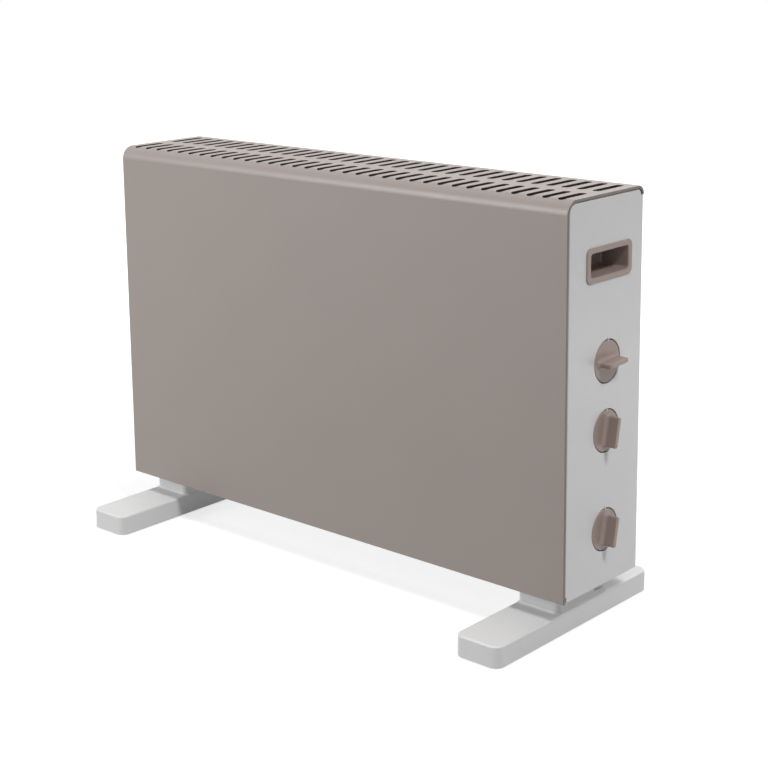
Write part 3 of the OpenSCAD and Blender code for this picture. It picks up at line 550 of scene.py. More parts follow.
def build_cover(sizes):
    """The bent cover with its slots, collars, hems and lip"""
    shape = CoverShape(sizes)
    skin = Skin()
    at = shape.at
    side = CASE_W / 2
    outer_limit = shape.centres()[-1] + sizes.pitch / 2
    inner_limit = side - sizes.hem_width
    lip_x = side - sizes.lip_inset
    # Chamfer of the sheet's lower edges, and bands of plain sheet on the front
    low_edge = 0.25 * MM
    bands = 3

    cells = [shape.cell_levels(row) for row in shape.rows]
    front_levels = [0.0, low_edge] + spread(shape.bend_start / bands, shape.bend_start, bands - 1)
    front_levels += spread(shape.bend_start, cells[0][0], BEND_STEPS)[1:]
    rear_levels = [cells[1][-1]] + spread(shape.top_end, shape.lip_start, BEND_STEPS)
    lip_levels = [shape.lip_start, shape.lip_end - low_edge, shape.lip_end]
    all_levels = front_levels + cells[0][1:] + cells[1] + rear_levels[1:]

    def edge_depth(s):
        return low_edge if s in (0.0, shape.lip_end) else 0.0

    def columns_at(s, limit):
        """Columns of a level; behind the slots one of them lies at the lip's end"""
        columns = shape.columns(limit)
        if s > cells[1][-1]:
            near = min(range(len(columns)), key=lambda k: abs(columns[k] - lip_x))
            columns[near] = lip_x
            columns[-1 - near] = -lip_x
        return columns

    def row(s, limit, depth, lip_only=False):
        columns = columns_at(s, limit)
        if lip_only:
            columns = [x for x in columns if abs(x) <= lip_x + WELD]
        return [at(x, s, depth) for x in columns]

    # Plain sheet, outside and inside
    for levels in (front_levels, [cells[0][-1], cells[1][0]], rear_levels):
        for a, b in zip(levels, levels[1:]):
            outer = [row(s, outer_limit, edge_depth(s)) for s in (a, b)]
            inner = [row(s, inner_limit, sizes.sheet) for s in (a, b)]
            skin.strip(*outer, closed=False)
            skin.strip(*inner, closed=False)
    for a, b in zip(lip_levels, lip_levels[1:]):
        outer = [row(s, outer_limit, edge_depth(s), True) for s in (a, b)]
        inner = [row(s, inner_limit, sizes.sheet, True) for s in (a, b)]
        skin.strip(*outer, closed=False)
        skin.strip(*inner, closed=False)
        for end in (0, -1):
            skin.face([outer[0][end], outer[1][end], inner[1][end], inner[0][end]])

    # Slots: rounded rim, wall of the collar, its lower edge and its back
    radius = sizes.slot_width / 2
    deep = sizes.sheet + sizes.collar
    wall = sizes.collar_wall
    chamfer = 0.2 * MM
    rings = rounding(sizes.rim, steps=4)
    rings += [(0.0, deep - chamfer), (chamfer, deep), (wall - chamfer, deep), (wall, deep - chamfer)]
    rings.append((wall, sizes.sheet))
    for start, end in shape.rows:
        low, high = start + radius, end - radius
        first, last = start - sizes.cell_end, end + sizes.cell_end
        for i, x in enumerate(shape.centres()):
            border = shape.cell_ring(x, low, high, *shape.half_widths(i, outer_limit), first, last)
            loops = [[at(u, s, 0.0) for u, s in border]]
            for grown, depth in rings:
                loops.append([at(u, s, depth) for u, s in shape.slot_ring(x, low, high, radius + grown)])
            border = shape.cell_ring(x, low, high, *shape.half_widths(i, inner_limit), first, last)
            loops.append([at(u, s, sizes.sheet) for u, s in border])
            skin.tube(loops)

    # Side edges: rounded outer corner, hem and the hem's inner side
    inner_edge = 0.4 * MM
    edge = [(outer_limit, 0.0)]
    edge += [(side - u, v) for u, v in rounding(sizes.edge, SMALL_STEPS)]
    edge += [(side - v, sizes.hem - u) for u, v in rounding(inner_edge, RIM_STEPS)]
    edge += [(inner_limit, sizes.hem), (inner_limit, sizes.sheet)]
    for sign in (-1, 1):
        for a, b in zip(all_levels, all_levels[1:]):
            rows = [[at(sign * x, s, max(depth, edge_depth(s))) for x, depth in edge] for s in (a, b)]
            skin.strip(*rows, closed=False)

    # Ends of the sheet: the front's lower edge, the hems' rear ends and the lip's lower edge
    for s, first_x in ((0.0, 0.0), (shape.lip_start, lip_x)):
        outer = columns_at(s, outer_limit)
        inner = columns_at(s, inner_limit)
        last_common = max(k for k in range(len(outer)) if abs(outer[k] - inner[k]) < WELD)
        if first_x == 0.0:
            first_common = len(outer) - 1 - last_common
            for k in range(first_common, last_common):
                skin.face([at(outer[k], s, edge_depth(s)), at(outer[k + 1], s, edge_depth(s)),
                           at(inner[k + 1], s, sizes.sheet), at(inner[k], s, sizes.sheet)])
            begin = last_common
        else:
            begin = min(range(len(outer)), key=lambda k: abs(outer[k] - lip_x))
        for sign in (-1, 1):
            outline = [at(sign * x, s, edge_depth(s)) for x in outer[begin:]]
            outline += [at(sign * x, s, max(depth, edge_depth(s))) for x, depth in edge[1:]]
            outline += [at(sign * x, s, sizes.sheet) for x in reversed(inner[begin:-1])]
            skin.face(outline)
    outer = row(shape.lip_end, outer_limit, low_edge, True)
    inner = row(shape.lip_end, inner_limit, sizes.sheet, True)
    skin.strip(outer, inner, closed=False)
    return mesh_of("front_cover", skin)


# End panels


def panel_outline(sizes, cover, inset, base=0.0, strip=True):
    """Outline of the end panel drawn in by inset; the strip runs over the case's rear edge"""
    margin = cover.hem + sizes.gap + inset
    front, rear = -CASE_D / 2 + margin, CASE_D / 2 - margin
    top = CASE_H - cover.rear_bend - sizes.gap - inset
    points = [(front, base + (inset if strip else 0.0))]
    if strip:
        points += [(CASE_D / 2 - inset, base + inset), (CASE_D / 2 - inset, top), (rear, top)]
    else:
        points += [(rear, base)]
    r = cover.rear_bend - margin
    y, z = CASE_D / 2 - cover.rear_bend, CASE_H - cover.rear_bend
    points += [(y + r * math.cos(a), z + r * math.sin(a)) for a in arc_steps(BEND_STEPS)]
    r = cover.front_bend - margin
    y, z = -CASE_D / 2 + cover.front_bend, CASE_H - cover.front_bend
    points += [(y - r * math.sin(a), z + r * math.cos(a)) for a in arc_steps(BEND_STEPS)]
    return points


def box_skin(low, high):
    """A plain box, for joining and cutting"""
    skin = Skin()
    corners = rectangle(*low[:2], *high[:2])
    skin.loft([level(corners, z) for z in (low[2], high[2])])
    return skin


def build_panel(sizes, cover, grip, dial_heights):
    """An end panel: a face with rounded edges and holes, a flange behind it and two tabs"""
    face_x = CASE_W / 2 - sizes.recess
    back_x = face_x - sizes.wall
    skin = Skin()
    edge = rounding(sizes.edge, EDGE_STEPS)
    loops = [across(panel_outline(sizes, cover, inset), face_x - drop) for inset, drop in edge]
    loops.append(across(panel_outline(sizes, cover, 0.0), back_x))
    skin.tube(loops)

    holes = []
    hole_r = sizes.dial_hole / 2
    profile = [(hole_r + grown, face_x - drop) for grown, drop in rounding(sizes.dial_rim, RIM_STEPS)]
    profile.append((hole_r, back_x))
    for height in dial_heights:
        holes.append([across(circle(r, DISC_SIDES), x, grip.side_y, height) for r, x in profile])
    room = grip.wall + sizes.gap
    cut = round_corners(grip.width + 2 * room, grip.height + 2 * room, grip.corner + grip.wall)
    holes.append([across(cut, x, grip.side_y, grip.centre) for x in (face_x, back_x)])
    for rings in holes:
        skin.tube(rings)
    skin.plate(loops[0], [rings[0] for rings in holes])
    skin.plate(loops[-1], [rings[-1] for rings in holes])
    panel = solid("panel", skin)

    # Flange behind the edge, tab along the base plate and strip over the rear edge
    flange = Skin()
    base = cover.sheet
    root = back_x + BITE
    deep = back_x - sizes.flange_depth
    outer = panel_outline(sizes, cover, 0.0, base, strip=False)
    inner = panel_outline(sizes, cover, sizes.flange, base + sizes.flange, strip=False)
    rings = [across(outer, root), across(outer, deep), across(inner, deep), across(inner, root)]
    flange.tube(rings + rings[:1])
    combine(panel, solid("flange", flange), "UNION")
    inset = cover.hem + sizes.gap + sizes.flange
    tab_x = back_x - sizes.tab_depth
    tab_low = (tab_x, -CASE_D / 2 + inset - BITE, base)
    tab_high = (root, CASE_D / 2 - inset + BITE, base + sizes.flange)
    tab = box_skin(tab_low, tab_high)
    combine(panel, solid("tab", tab), "UNION")
    strip_top = CASE_H - cover.rear_bend - sizes.gap
    strip = box_skin((tab_x, CASE_D / 2 - cover.sheet, 0.0), (root, CASE_D / 2, strip_top))
    combine(panel, solid("strip", strip), "UNION")
    half = sizes.index_width / 2
    sunk_x = face_x - sizes.index_rise / 8
    for height in dial_heights:
        hole_top = height + hole_r
        low = (sunk_x, grip.side_y - half, hole_top - sizes.index_reach)
        high = (face_x + sizes.index_rise, grip.side_y + half, hole_top + sizes.index_reach)
        combine(panel, solid("index", box_skin(low, high)), "UNION")
    front = -CASE_D / 2 + cover.hem + sizes.gap
    notch_high = (face_x + OVER, front + sizes.notch_width, sizes.notch_height)
    notch = box_skin((deep - OVER, front - OVER, -OVER), notch_high)
    combine(panel, solid("notch", notch), "DIFFERENCE")

    mesh = panel.data
    bpy.data.objects.remove(panel)
    tidy(mesh)
    crease_edge(mesh, sizes, back_x)
    return mesh


def crease_edge(mesh, sizes, back_x):
    """Lets the band of the panel's face along its rear edge fall away"""
    work = bmesh.new()
    work.from_mesh(mesh)
    crease_y = CASE_D / 2 - sizes.crease
    everything = list(work.verts) + list(work.edges) + list(work.faces)
    bmesh.ops.bisect_plane(work, geom=everything, plane_co=(0, crease_y, 0), plane_no=(0, 1, 0))
    for vert in work.verts:
        if vert.co.y > crease_y and vert.co.x > back_x:
            share_out = (vert.co.y - crease_y) / sizes.crease
            vert.co.x -= sizes.crease_drop * share_out * (vert.co.x - back_x) / sizes.wall
    work.to_mesh(mesh)
    work.free()


# Finger recesses


def build_grip(sizes, panel):
    """A frame on the panel and a closed cup behind it, in one moulding"""
    face = CASE_W / 2 - panel.recess
    front = face + sizes.thickness
    floor_x = face - sizes.depth + sizes.wall
    least_corner = 0.3 * MM
    rings = []

    def ring(grown, x, width, height, corner):
        points = round_corners(width + 2 * grown, height + 2 * grown, max(corner + grown, least_corner))
        rings.append(across(points, x, sizes.side_y, sizes.centre))

    cup = (sizes.width, sizes.height, sizes.corner)
    outside = (sizes.width + 2 * sizes.wall, sizes.height + 2 * sizes.wall, sizes.corner + sizes.wall)
    rim = (sizes.frame_width, sizes.frame_height, sizes.frame_corner)
    ring(0.0, face - sizes.depth, *outside)
    ring(0.0, face, *outside)
    ring(0.0, face, *rim)
    for u, v in rounding(sizes.frame_edge, EDGE_STEPS):
        ring(-v, front - u, *rim)
    for u, v in rounding(sizes.mouth, EDGE_STEPS):
        ring(u, front - v, *cup)
    for u, v in rounding(sizes.floor_edge, EDGE_STEPS):
        ring(-sizes.taper - v, floor_x + u, *cup)
    skin = Skin()
    skin.loft(rings)
    return mesh_of("grip", skin)


# Knobs


def build_knob(sizes, panel, centre, angle):
    """A hollow disc with a hub and a flat grip across it, whose sides blend into the disc"""
    face = CASE_W / 2 - sizes.face
    back = face - sizes.depth
    roof = face - sizes.wall
    radius = panel.dial_hole / 2 - sizes.gap
    inner = radius - sizes.wall
    hub, bore = sizes.hub / 2, sizes.bore / 2
    profile = [(bore, back + sizes.bore_depth), (bore, back), (hub, back)]
    profile += [(hub, roof), (inner, roof), (inner, back)]
    profile += [(radius - SOFT, back), (radius, back + SOFT)]
    profile += [(radius - v, face - u) for u, v in rounding(sizes.disc_edge, EDGE_STEPS)]
    discs = [across(circle(r, DISC_SIDES), x, centre.y, centre.z) for r, x in profile]

    def turned(points, x):
        """Points (u, v), with u towards the grip's pointer end, as places across the case's width"""
        sine, cosine = math.sin(angle), math.cos(angle)
        points = [(u * sine + v * cosine, v * sine - u * cosine) for u, v in points]
        return across(points, x, centre.y, centre.z)

    def outline(grown, x):
        grown += sizes.grip_taper * (KNOB_TIP_X - x) / (KNOB_TIP_X - face)
        width, height = sizes.grip + 2 * grown, sizes.grip_width + 2 * grown
        return turned(round_corners(width, height, sizes.grip_corner + grown), x)

    grips = [outline(u, face + v) for u, v in rounding(sizes.blend, WIDE_STEPS)]
    grips += [outline(-v, KNOB_TIP_X - u) for u, v in rounding(sizes.grip_edge, EDGE_STEPS)]
    at = sizes.grip / 2 - sizes.pit_inset
    # The pit's radius and depth from its rim to its floor
    pit_shares = ((1.0, 0.0), (1.0, 0.4), (0.8, 0.8), (0.4, 1.0))
    pits = []
    for across_share, depth_share in pit_shares:
        points = [(at + u * across_share, v * across_share) for u, v in circle(sizes.pit / 2, PIT_SIDES)]
        pits.append(turned(points, KNOB_TIP_X - sizes.pit_depth * depth_share))
    skin = Skin()
    skin.face(discs[0])
    skin.plate(discs[-1], [grips[0]])
    skin.plate(grips[-1], [pits[0]])
    skin.face(pits[-1])
    for rings in (discs, grips, pits):
        skin.tube(rings)
    return mesh_of("knob", skin)


# Feet


def stack(outline, rings):
    """A solid through level outlines: each ring is (inset, z)"""
    skin = Skin()
    skin.loft([level(outline(inset), z) for inset, z in rings])
    return skin


def build_foot(sizes):
    """A hollow bar with a saddle under the case, screw wells and pad pockets"""
    foot_low, foot_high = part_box("right_foot")
    low, high = foot_low - CASE_AT, foot_high - CASE_AT
    ground = -CASE_AT.z
    middle = (low.x + high.x) / 2
    width, long_side = high.x - low.x, high.y - low.y
    bar_y = (low.y + high.y) / 2
    rim_z = ground + sizes.rim
    bar_z = ground + sizes.bar
    saddle_y = -CASE_D / 2 + sizes.saddle_front + sizes.saddle / 2
    saddle_width = width - 2 * sizes.saddle_inset
    # Flat left beside the saddle's flare, and gap round a pad in its pocket
    ledge = 0.3 * MM
    pad_gap = 0.1 * MM

    def bar_outline(inset):
        points = round_corners(width - 2 * inset, long_side - 2 * inset, sizes.corner - inset, WIDE_STEPS)
        return [(middle + u, bar_y + v) for u, v in points]

    def flared(grown_u, grown_v):
        corner = sizes.saddle_corner + grown_u
        points = round_corners(saddle_width + 2 * grown_u, sizes.saddle + 2 * grown_v, corner)
        return [(middle + u, saddle_y + v) for u, v in points]

    def saddle_outline(inset):
        return flared(-inset, -inset)

    edge = sizes.top_edge
    rings = [(SOFT, rim_z), (0.0, rim_z + SOFT)]
    rings += [(v, bar_z - u) for u, v in rounding(edge, EDGE_STEPS)]
    foot = solid("foot", stack(bar_outline, rings))

    saddle = Skin()
    flare = sizes.saddle_foot
    side_flare = min(flare, sizes.saddle_inset - ledge)
    rows = [level(flared(side_flare, flare), bar_z - edge)]
    for out_share, up_share in rounding(1.0, SMALL_STEPS):
        rows.append(level(flared(side_flare * out_share, flare * out_share), bar_z + flare * up_share))
    rows += [level(saddle_outline(0.0), -SOFT), level(saddle_outline(SOFT), 0.0)]
    saddle.loft(rows)
    combine(foot, solid("saddle", saddle), "UNION")

    # Step behind the saddle, whose sides and rear end lean in
    lean = 1 * MM
    saddle_end = saddle_y + sizes.saddle / 2
    near, far = saddle_end - sizes.saddle_corner, saddle_end + sizes.step
    half = saddle_width / 2
    low_ring = rectangle(middle - half, near, middle + half, far)
    top_ring = rectangle(middle - half + lean, near, middle + half - lean, far - lean)
    step = Skin()
    step.loft([level(low_ring, bar_z - edge), level(low_ring, bar_z),
               level(top_ring, bar_z + sizes.step_height)])
    combine(foot, solid("step", step), "UNION")

    # Hollow of the bar and of the saddle
    ceiling = bar_z - sizes.wall
    rings = [(0.0, ground - OVER), (0.0, ceiling - SOFT), (SOFT, ceiling)]
    hollow = stack(lambda inset: bar_outline(sizes.wall + inset), rings)
    combine(foot, solid("hollow", hollow), "DIFFERENCE")
    roof_z = -sizes.roof
    rings = [(0.0, ceiling - OVER), (0.0, roof_z)]
    hollow = stack(lambda inset: saddle_outline(sizes.wall + inset), rings)
    combine(foot, solid("hollow", hollow), "DIFFERENCE")

    def post(y, diameter, z_low, z_high, operation):
        skin = Skin()
        skin.loft([level(circle(diameter / 2, POST_SIDES), z, middle, y) for z in (z_low, z_high)])
        combine(foot, solid("post", skin), operation)

    screws_low, screws_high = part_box("foot_screws")
    screw_places = [screws_low.y + HEAD_R - CASE_AT.y, screws_high.y - HEAD_R - CASE_AT.y]
    from_end = sizes.wall + sizes.pad_edge + sizes.pad / 2 - pad_gap
    pad_places = [low.y + from_end, high.y - from_end]
    for y in screw_places:
        post(y, sizes.boss, rim_z, roof_z + sizes.roof / 2, "UNION")
    for y in pad_places:
        post(y, sizes.pad - 2 * pad_gap + 2 * sizes.wall, rim_z, bar_z - sizes.wall / 2, "UNION")
    for y in screw_places:
        post(y, sizes.well, ground - OVER, roof_z, "DIFFERENCE")
        post(y, sizes.screw, ground - OVER, OVER, "DIFFERENCE")
    for y in pad_places:
        post(y, sizes.pad, ground - OVER, ground + sizes.pad_height, "DIFFERENCE")
    mesh = foot.data
    bpy.data.objects.remove(foot)
    tidy(mesh)
    return mesh


# Finishes: every pattern is set out in the object's own coordinates, in metres


class Finish:
    """A material under construction"""

    def __init__(self, name, rgb, roughness, metallic=0.0):
        self.material = bpy.data.materials.new(name)
        self.material.use_nodes = True
        tree = self.material.node_tree
        tree.nodes.clear()
        self.nodes, self.links = tree.nodes, tree.links
        self.shader = self.nodes.new("ShaderNodeBsdfPrincipled")
        output = self.nodes.new("ShaderNodeOutputMaterial")
        self.links.new(self.shader.outputs["BSDF"], output.inputs["Surface"])
        self.place = self.nodes.new("ShaderNodeTexCoord").outputs["Object"]
        self.rgb = rgb
        self.shader.inputs["Base Color"].default_value = (*rgb, 1.0)
        self.shader.inputs["Roughness"].default_value = roughness
        self.shader.inputs["Metallic"].default_value = metallic
        self.normal = None

    def stretched(self, scale):
        """The place, stretched along the axes"""
        node = self.nodes.new("ShaderNodeMapping")
        node.inputs["Scale"].default_value = scale
        self.links.new(self.place, node.inputs["Vector"])
        return node.outputs["Vector"]

    def noise(self, size, detail=2.0, roughness=0.5, vector=None):
        """Noise whose patches measure about size"""
        node = self.nodes.new("ShaderNodeTexNoise")
        node.inputs["Scale"].default_value = 1 / size
        node.inputs["Detail"].default_value = detail
        node.inputs["Roughness"].default_value = roughness
        self.links.new(vector or self.place, node.inputs["Vector"])
        return node.outputs["Fac"]

    def cells(self, size, output="Color"):
        """Crystals that measure about size"""
        node = self.nodes.new("ShaderNodeTexVoronoi")
        node.inputs["Scale"].default_value = 1 / size
        self.links.new(self.place, node.inputs["Vector"])
        return node.outputs[output]

    def spread(self, value, low, high, from_low=0.3, from_high=0.7):
        """value, taken from one range to another"""
        node = self.nodes.new("ShaderNodeMapRange")
        node.inputs["From Min"].default_value = from_low
        node.inputs["From Max"].default_value = from_high
        node.inputs["To Min"].default_value = low
        node.inputs["To Max"].default_value = high
        self.links.new(value, node.inputs["Value"])
        return node.outputs["Result"]

    def tint(self, value, change):
        """Base colour that goes from darker to lighter by change with value"""
        node = self.nodes.new("ShaderNodeMix")
        node.data_type = "RGBA"
        node.inputs["A"].default_value = (*[c * (1 - change) for c in self.rgb], 1.0)
        node.inputs["B"].default_value = (*[min(1.0, c * (1 + change)) for c in self.rgb], 1.0)
        self.links.new(value, node.inputs["Factor"])
        self.links.new(node.outputs["Result"], self.shader.inputs["Base Color"])

    def vector_math(self, operation, first, second=None):
        """A step of vector arithmetic"""
        node = self.nodes.new("ShaderNodeVectorMath")
        node.operation = operation
        self.links.new(first, node.inputs[0])
        if second is not None:
            node.inputs[1].default_value = second
        return node.outputs["Value" if operation == "LENGTH" else "Vector"]

    def math(self, operation, first, second):
        """A step of arithmetic, each side a number or a socket"""
        node = self.nodes.new("ShaderNodeMath")
        node.operation = operation
        for socket, value in zip(node.inputs, (first, second)):
            if isinstance(value, float):
                socket.default_value = value
            else:
                self.links.new(value, socket)
        return node.outputs["Value"]

    def blend_to(self, rgb, value):
        """Base colour that goes over to rgb with value"""
        node = self.nodes.new("ShaderNodeMix")
        node.data_type = "RGBA"
        base = self.shader.inputs["Base Color"]
        self.links.new(base.links[0].from_socket, node.inputs["A"])
        node.inputs["B"].default_value = (*rgb, 1.0)
        self.links.new(value, node.inputs["Factor"])
        self.links.new(node.outputs["Result"], base)

    def rough(self, value):
        self.links.new(value, self.shader.inputs["Roughness"])

    def bump(self, height, depth, strength=1.0):
        """A relief of depth metres, on top of what is there"""
        node = self.nodes.new("ShaderNodeBump")
        node.inputs["Distance"].default_value = depth
        node.inputs["Strength"].default_value = strength
        self.links.new(height, node.inputs["Height"])
        if self.normal is not None:
            self.links.new(self.normal, node.inputs["Normal"])
        self.normal = node.outputs["Normal"]
        self.links.new(self.normal, self.shader.inputs["Normal"])


def below_bend(finish, side, radius):
    """Depth below the outer side of a sheet bent round the case's front or rear top edge"""
    centre = CASE_AT + Vector((0.0, side * (CASE_D / 2 - radius), CASE_H - radius))
    away = finish.vector_math("SUBTRACT", finish.place, centre)
    outward = finish.vector_math("MULTIPLY", away, (0.0, side, 1.0))
    clipped = finish.vector_math("MAXIMUM", outward, (0.0, 0.0, 0.0))
    return finish.math("SUBTRACT", float(radius), finish.vector_math("LENGTH", clipped))


def powder_coat(rgb, inside, sizes):
    """Satin powder coat: faint orange peel and a soft sheen, with painted shade: a dark colour in the
    slots near the top and, less of it, on the hems' folds
    """
    # Share of the painted shade's dark colour that is laid on the hems' folds
    fold_shade_share = 0.55
    finish = Finish("cover_paint", rgb, 0.42)
    finish.shader.inputs["Coat Weight"].default_value = 0.12
    finish.shader.inputs["Coat Roughness"].default_value = 0.30
    finish.tint(finish.spread(finish.noise(0.11, 3.0), 0.0, 1.0), 0.014)
    below_front = below_bend(finish, -1, sizes.front_bend)
    depth = finish.math("MINIMUM", below_front, below_bend(finish, 1, sizes.rear_bend))
    split = finish.nodes.new("ShaderNodeSeparateXYZ")
    finish.links.new(finish.vector_math("SUBTRACT", finish.place, CASE_AT), split.inputs["Vector"])
    across_case = split.outputs["X"]
    off_middle = finish.math("MAXIMUM", across_case, finish.math("MULTIPLY", across_case, -1.0))
    # Painted shade: part of the dark colour on the hems' folds, and all of it in the slots and under the
    # sheet near the top
    limit = float(CASE_W / 2 - sizes.hem_width)
    folded = finish.math("MULTIPLY", finish.math("GREATER_THAN", off_middle, limit), fold_shade_share)
    near_top = finish.math("GREATER_THAN", split.outputs["Z"], float(CASE_H - sizes.rear_bend))
    slotted = finish.math("MULTIPLY", near_top, finish.math("LESS_THAN", off_middle, limit))
    # The painted shade grows with depth below the cover's outer side, from a quarter of the slots' rim
    # radius to the whole radius
    painted_shade = finish.spread(depth, 0.0, 1.0, sizes.rim / 4, sizes.rim)
    finish.blend_to(inside, finish.math("MULTIPLY", painted_shade, finish.math("MAXIMUM", folded, slotted)))
    finish.rough(finish.spread(finish.noise(0.02, 3.0), 0.40, 0.46))
    finish.bump(finish.noise(1.6 * MM, 1.0), 0.012 * MM)
    finish.bump(finish.noise(0.35 * MM, 2.0), 0.004 * MM)
    return finish.material


def moulded(name, rgb, roughness, grain=0.5 * MM, relief=0.010 * MM, cloud=0.08, change=0.012):
    """Moulded plastic with a fine eroded grain"""
    finish = Finish(name, rgb, roughness)
    finish.tint(finish.spread(finish.noise(cloud, 3.0), 0.0, 1.0), change)
    finish.rough(finish.spread(finish.noise(0.015, 3.0), roughness - 0.03, roughness + 0.03))
    finish.bump(finish.noise(grain, 3.0, 0.6), relief)
    return finish.material


def galvanised(rgb):
    """Zinc-coated sheet: dull crystals of slightly different brightness"""
    finish = Finish("zinc_steel", rgb, 0.42, 0.9)
    crystals = finish.cells(7 * MM)
    split = finish.nodes.new("ShaderNodeSeparateColor")
    finish.links.new(crystals, split.inputs["Color"])
    finish.tint(split.outputs["Red"], 0.08)
    finish.rough(finish.spread(split.outputs["Green"], 0.34, 0.50, 0.0, 1.0))
    finish.bump(finish.noise(0.8 * MM, 2.0), 0.006 * MM)
    return finish.material


def rolled(name, rgb, roughness, along, relief=0.010 * MM):
    """Bare metal with fine lines along its rolling or drawing direction"""
    finish = Finish(name, rgb, roughness, 1.0)
    lines = finish.noise(0.6 * MM, 2.0, 0.6, finish.stretched(along))
    finish.tint(finish.spread(finish.noise(0.05, 3.0), 0.0, 1.0), 0.05)
    finish.rough(finish.spread(lines, roughness - 0.06, roughness + 0.08))
    finish.bump(lines, relief)
    return finish.material


def glazed(rgb):
    """Glazed ceramic with faint speckles"""
    finish = Finish("white_ceramic", rgb, 0.22)
    finish.tint(finish.spread(finish.noise(1.2 * MM, 2.0), 0.0, 1.0, 0.45, 0.75), 0.06)
    finish.bump(finish.noise(2.5 * MM, 1.0), 0.02 * MM)
    return finish.material


def make_finishes(colours, cover):
    """Every finish by the name of its material slot"""
    lengthwise = (0.02, 1.0, 1.0)
    return {
        "cover_paint": powder_coat(colours.cover, colours.inside, cover),
        "panel_plastic": moulded("panel_plastic", colours.panel, 0.40, 0.45 * MM, 0.006 * MM),
        "taupe_plastic": moulded("taupe_plastic", colours.knob, 0.46, 0.40 * MM, 0.012 * MM, 0.03),
        "foot_plastic": moulded("foot_plastic", colours.foot, 0.44, 0.45 * MM, 0.008 * MM),
        "zinc_steel": galvanised(colours.zinc),
        "shield_aluminium": rolled("shield_aluminium", colours.shield, 0.22, lengthwise),
        "element_aluminium": rolled("element_aluminium", colours.element, 0.36, lengthwise, 0.02 * MM),
        "plated_steel": rolled("plated_steel", colours.screw, 0.30, (1.0, 1.0, 0.2)),
        "black_plastic": moulded("black_plastic", colours.black, 0.40, 0.4 * MM, 0.015 * MM, 0.02, 0.10),
        "white_ceramic": glazed(colours.ceramic),
        "black_rubber": moulded("black_rubber", colours.rubber, 0.75, 0.6 * MM, 0.03 * MM, 0.02, 0.15),
    }


# Operators


class HEATER_OT_finishes(bpy.types.Operator):
    """Makes the finishes and gives each CAD node its own"""
    bl_idname = "heater.finishes"
    bl_label = "Finishes"

    def execute(self, context):
        FINISHES.update(make_finishes(context.scene.heater_colours, context.scene.heater_cover))
        for name, thing in frame["nodes"].items():
            if not thing.material_slots:
                thing.data.materials.append(None)
            for material_slot in thing.material_slots:
                material_slot.material = finish_of(name)
        return {"FINISHED"}


class HEATER_OT_cover(bpy.types.Operator):
    """Makes the bent cover with its outlet slots"""
    bl_idname = "heater.cover"
    bl_label = "Cover"

    def execute(self, context):
        piece("cover", build_cover(context.scene.heater_cover), "front_cover", sharp=40)
        return {"FINISHED"}


class HEATER_OT_panels(bpy.types.Operator):
    """Makes the two end panels"""
    bl_idname = "heater.panels"
    bl_label = "End panels"

    def execute(self, context):
        scene = context.scene
        heights = {"right": [knob_height(node) for node in KNOB_NODES], "left": []}
        for end, side in ENDS:
            mesh = build_panel(scene.heater_panel, scene.heater_cover, scene.heater_grip, heights[end])
            piece(f"panel_{end}", mesh, f"{end}_end_panel", side)
        return {"FINISHED"}


class HEATER_OT_grips(bpy.types.Operator):
    """Makes the two finger recesses"""
    bl_idname = "heater.grips"
    bl_label = "Finger recesses"

    def execute(self, context):
        for end, side in ENDS:
            mesh = build_grip(context.scene.heater_grip, context.scene.heater_panel)
            piece(f"recess_{end}", mesh, f"{end}_grip_cup", side)
        return {"FINISHED"}


class HEATER_OT_knobs(bpy.types.Operator):
    """Makes the three knobs"""
    bl_idname = "heater.knobs"
    bl_label = "Knobs"

    def execute(self, context):
        scene = context.scene
        sizes = scene.heater_knob
        for node in KNOB_NODES:
            centre = Vector((0.0, scene.heater_grip.side_y, knob_height(node)))
            angle = sizes.upper_turn if node == "upper_knob" else sizes.other_turn
            mesh = build_knob(sizes, scene.heater_panel, centre, angle)
            piece(node.replace("_knob", "_dial"), mesh, node, sharp=40)
        return {"FINISHED"}


class HEATER_OT_feet(bpy.types.Operator):
    """Makes the two moulded feet"""
    bl_idname = "heater.feet"
    bl_label = "Feet"

    def execute(self, context):
        for end, side in ENDS:
            piece(f"stand_{end}", build_foot(context.scene.heater_foot), f"{end}_foot", side)
        return {"FINISHED"}


class StageSizes(bpy.types.PropertyGroup):
    """Camera, lamps and floor"""
    camera_at: bpy.props.FloatVectorProperty(
        name="Camera", description="Place of the camera in the case's frame",
        default=(1.12714, -1.23599, 0.61463), size=3, subtype="XYZ", unit="LENGTH", precision=5)
    azimuth: turn("Azimuth", "Direction of the view from +Y towards +X", -41.565)
    pitch: turn("Pitch", "Angle of the view below the horizon", 11.479)
    roll: turn("Roll", "Turn of the picture", -0.607)
    lens: amount("Lens", "Focal length in millimetres", 77.942)
    shift: amount("Shift", "Vertical shift of the picture", -0.1615)
    floor: length("Floor", "Width of the floor", 14.0)
    near: length("Near", "Distance from the case where the floor starts to turn white", 0.5)
    far: length("Far", "Distance from the case where the floor is white", 1.6)
    glow: amount("Glow", "Brightness that the floor shows beside its own near the case", 0.68)
    world: amount("Surroundings", "Strength of the even light", 0.30)
    key: amount("Key lamp", "Power of the lamp at the front left", 48.0)
    top: amount("Top lamp", "Power of the lamp above the case", 14.0)
    side: amount("Side light", "Strength of the light from above the right end", 1.65)
    low: amount("Low lamp", "Power of the low lamp behind the right end", 0.35)
    rear: amount("Rear lamp", "Power of the lamp behind the case", 22.0)


def lamp(name, kind, place, target, size, power, scene):
    """A square lamp size metres wide, or a far light size radians wide, that the camera doesn't see"""
    data = bpy.data.lights.new(name, kind)
    if kind == "SUN":
        data.angle = size
    else:
        data.size = size
    data.energy = power
    thing = bpy.data.objects.new(name, data)
    scene.collection.objects.link(thing)
    thing.location = CASE_AT + Vector(place)
    direction = Vector(target) - Vector(place)
    thing.rotation_euler = direction.to_track_quat("-Z", "Y").to_euler()
    thing.visible_camera = False


